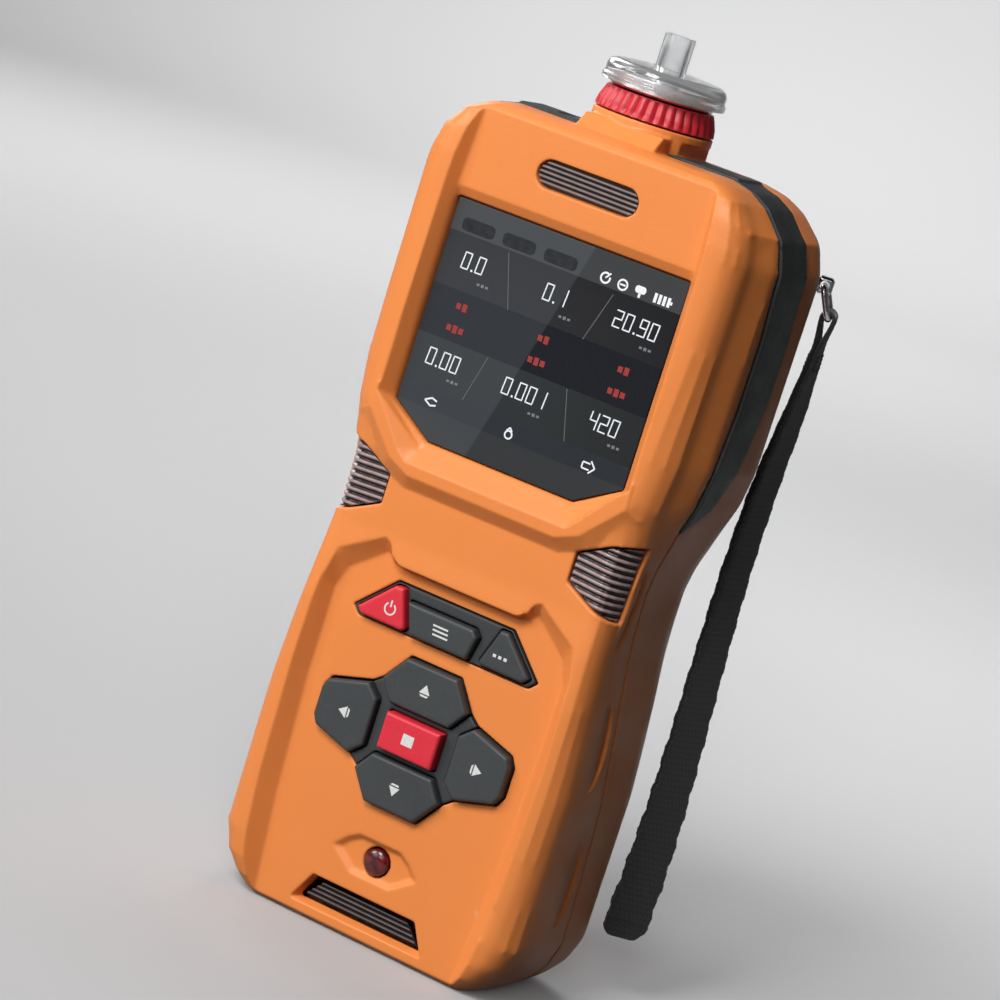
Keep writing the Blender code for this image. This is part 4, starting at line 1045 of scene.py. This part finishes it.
def make_strap():
    """Closed loop of woven webbing, sewn double, with its weave in the mesh."""
    line = strap_line()
    count = len(line)
    across = 34
    verts, weave = [], []
    length = 0.0
    for k, (off, z) in enumerate(line):
        before, after = line[k - 1], line[(k + 1) % count]
        x, y, turn = strap_middle(z)
        out, wide = strap_axes(turn)
        run = Vector((after[0] - before[0], after[1] - before[1])).normalized()
        face = out * run.y - Vector((0, 0, 1)) * run.x
        middle = Vector((x, y, 0.0)) + out * off + Vector((0, 0, z))
        length += (Vector(line[k]) - Vector(before)).length if k else 0.0
        pick = 0.5 + 0.5 * math.cos(2 * math.pi * length / PICK)
        above = max(0.0, END_ROUND - (z - STRAP_ROUTE[-1][2]))
        rounded = END_ROUND - math.sqrt(max(0.0, END_ROUND ** 2 - above ** 2))
        edge_half = STRAP_WIDTH / 2 - 0.22 + 0.10 * pick - rounded
        ripple = 0.16 * math.sin(z * 0.83) + 0.10 * math.sin(z * 2.1 + 1.0)
        ring = []
        for side in (1, -1):
            for i in range(across + 1):
                part = i / across * 2 - 1
                u = edge_half * part * side + ripple * part * part
                row = 0.5 * round(length / PICK)
                yarn = 0.5 + 0.5 * math.cos(2 * math.pi * (u / YARN + row))
                relief = 0.075 * (0.55 * yarn + 0.45 * pick)
                thin = math.sqrt(max(0.0, 1 - abs(part) ** 9))
                ring.append(middle + wide * u + face * side * (LAYER / 2 - 0.08 + relief) * thin)
                weave.append(0.6 * yarn + 0.4 * pick)
        verts += ring
    ring_size = 2 * (across + 1)
    faces = []
    for k in range(count):
        a, b = k * ring_size, (k + 1) % count * ring_size
        for i in range(ring_size):
            j = (i + 1) % ring_size
            faces.append((a + i, a + j, b + j, b + i))
    mesh = bpy.data.meshes.new("strap")
    mesh.from_pydata([v * MM for v in verts], [], faces)
    bm = bmesh.new()
    bm.from_mesh(mesh)
    layer = bm.verts.layers.float.new("weave")
    for vert, value in zip(bm.verts, weave):
        vert[layer] = value
    bmesh.ops.remove_doubles(bm, verts=bm.verts, dist=0.003 * MM)
    bmesh.ops.recalc_face_normals(bm, faces=bm.faces)
    bm.to_mesh(mesh)
    bm.free()
    strap = add_piece("wrist_strap_webbing", mesh, "strap", "strap_fabric",
                      stands_for=["wrist_strap"], smooth=0)
    stitches = make_stitches()


def make_stitches():
    """Thread showing on both faces: a sewn box under the ring and a row above the fold."""
    bm = bmesh.new()
    rows = [(z, u) for z in (133.4, 130.4) for u in np.arange(-2.6, 2.7, 1.04)]
    columns = [(z, u) for u in (-3.0, 3.0) for z in np.arange(130.9, 133.3, 0.8)]
    rows += [(16.2, u) for u in np.arange(-2.6, 2.7, 1.04)]
    for upright, places in ((False, rows), (True, columns)):
        for z, u in places:
            x, y, turn = strap_middle(z)
            out, wide = strap_axes(turn)
            for side in (1, -1):
                middle = Vector((x, y, z)) + wide * u + out * side * (LAYER_OFFSET + LAYER / 2)
                run = Vector((0, 0, 1)) if upright else wide
                add_stitch(bm, middle, run, out * side)
    mesh = mesh_from(bm, "stitches")
    return add_piece("wrist_strap_stitches", mesh, "strap", "strap_fabric")


def add_stitch(bm, middle, run, out):
    """One short arched length of thread."""
    half, radius = 0.40, 0.13
    along, around = 6, 8
    aside = run.cross(out)
    rings = []
    for k in range(along + 1):
        part = k / along * 2 - 1
        centre = middle + run * half * part + out * (0.06 * (1 - part * part) - 0.03)
        size = radius * math.sqrt(max(0.08, 1 - part ** 4))
        rings.append([bm.verts.new(centre + (aside * math.cos(t) + out * math.sin(t)) * size)
                      for t in (2 * math.pi * i / around for i in range(around))])
    skin(bm, rings)
    bm.faces.new(rings[0][::-1])
    bm.faces.new(rings[-1])


# ------------------------------ small pieces
def make_small_pieces():
    soften("strap_ring", "strap", "ring_wire", 0.12, 24, 9000)
    soften("strap_eye", "case", "ring_wire", 0.12, 6, 7000)
    soften("charge_port_cover", "port_cover", "seal_rubber", 0.14, 6, 9000)
    for n in range(1, 7):
        soften(f"case_screw_{n}", "case", "screw_steel", 0.13, 8, 5000)


def make_indicator():
    """The indicator's low dome, turned about its own axis along Y."""
    low, high = box_mm("indicator_lens")
    radius = (high.x - low.x) / 2
    z = (low.z + high.z) / 2
    bm = bmesh.new()
    dome, bends, steps = 1.1, 8, 48
    profile = [(radius, high.y), (radius, low.y + dome)]
    profile += [(radius * math.cos(t), low.y + dome - dome * math.sin(t))
                for t in (math.pi / 2 * k / bends for k in range(1, bends))]
    rings = []
    for r, y in profile:
        rings.append([bm.verts.new((r * math.cos(t), y, z + r * math.sin(t)))
                      for t in (2 * math.pi * k / steps for k in range(steps))])
    skin(bm, rings)
    bm.faces.new(rings[0])
    tip = bm.verts.new((0.0, low.y, z))
    for i in range(steps):
        bm.faces.new((rings[-1][i], rings[-1][(i + 1) % steps], tip))
    add_piece("indicator_lens_dome", mesh_from(bm, "dome"), "case", "red_lens",
              stands_for=["indicator_lens"])


def paint_carried_nodes():
    """Give every CAD node its slot's material."""
    slots = {row["node"]: row["material_slot"] for row in frame["record"]["subparts"]}
    for node, obj in frame["nodes"].items():
        obj.data.materials.clear()
        obj.data.materials.append(MATERIALS[slots[node]])


make_camera()
make_strap()
make_stage()
make_light()
paint_carried_nodes()
make_shells()
make_keys()
make_lenses()
make_grilles()
make_ring()
make_filter_head()
make_display()
make_small_pieces()
make_indicator()
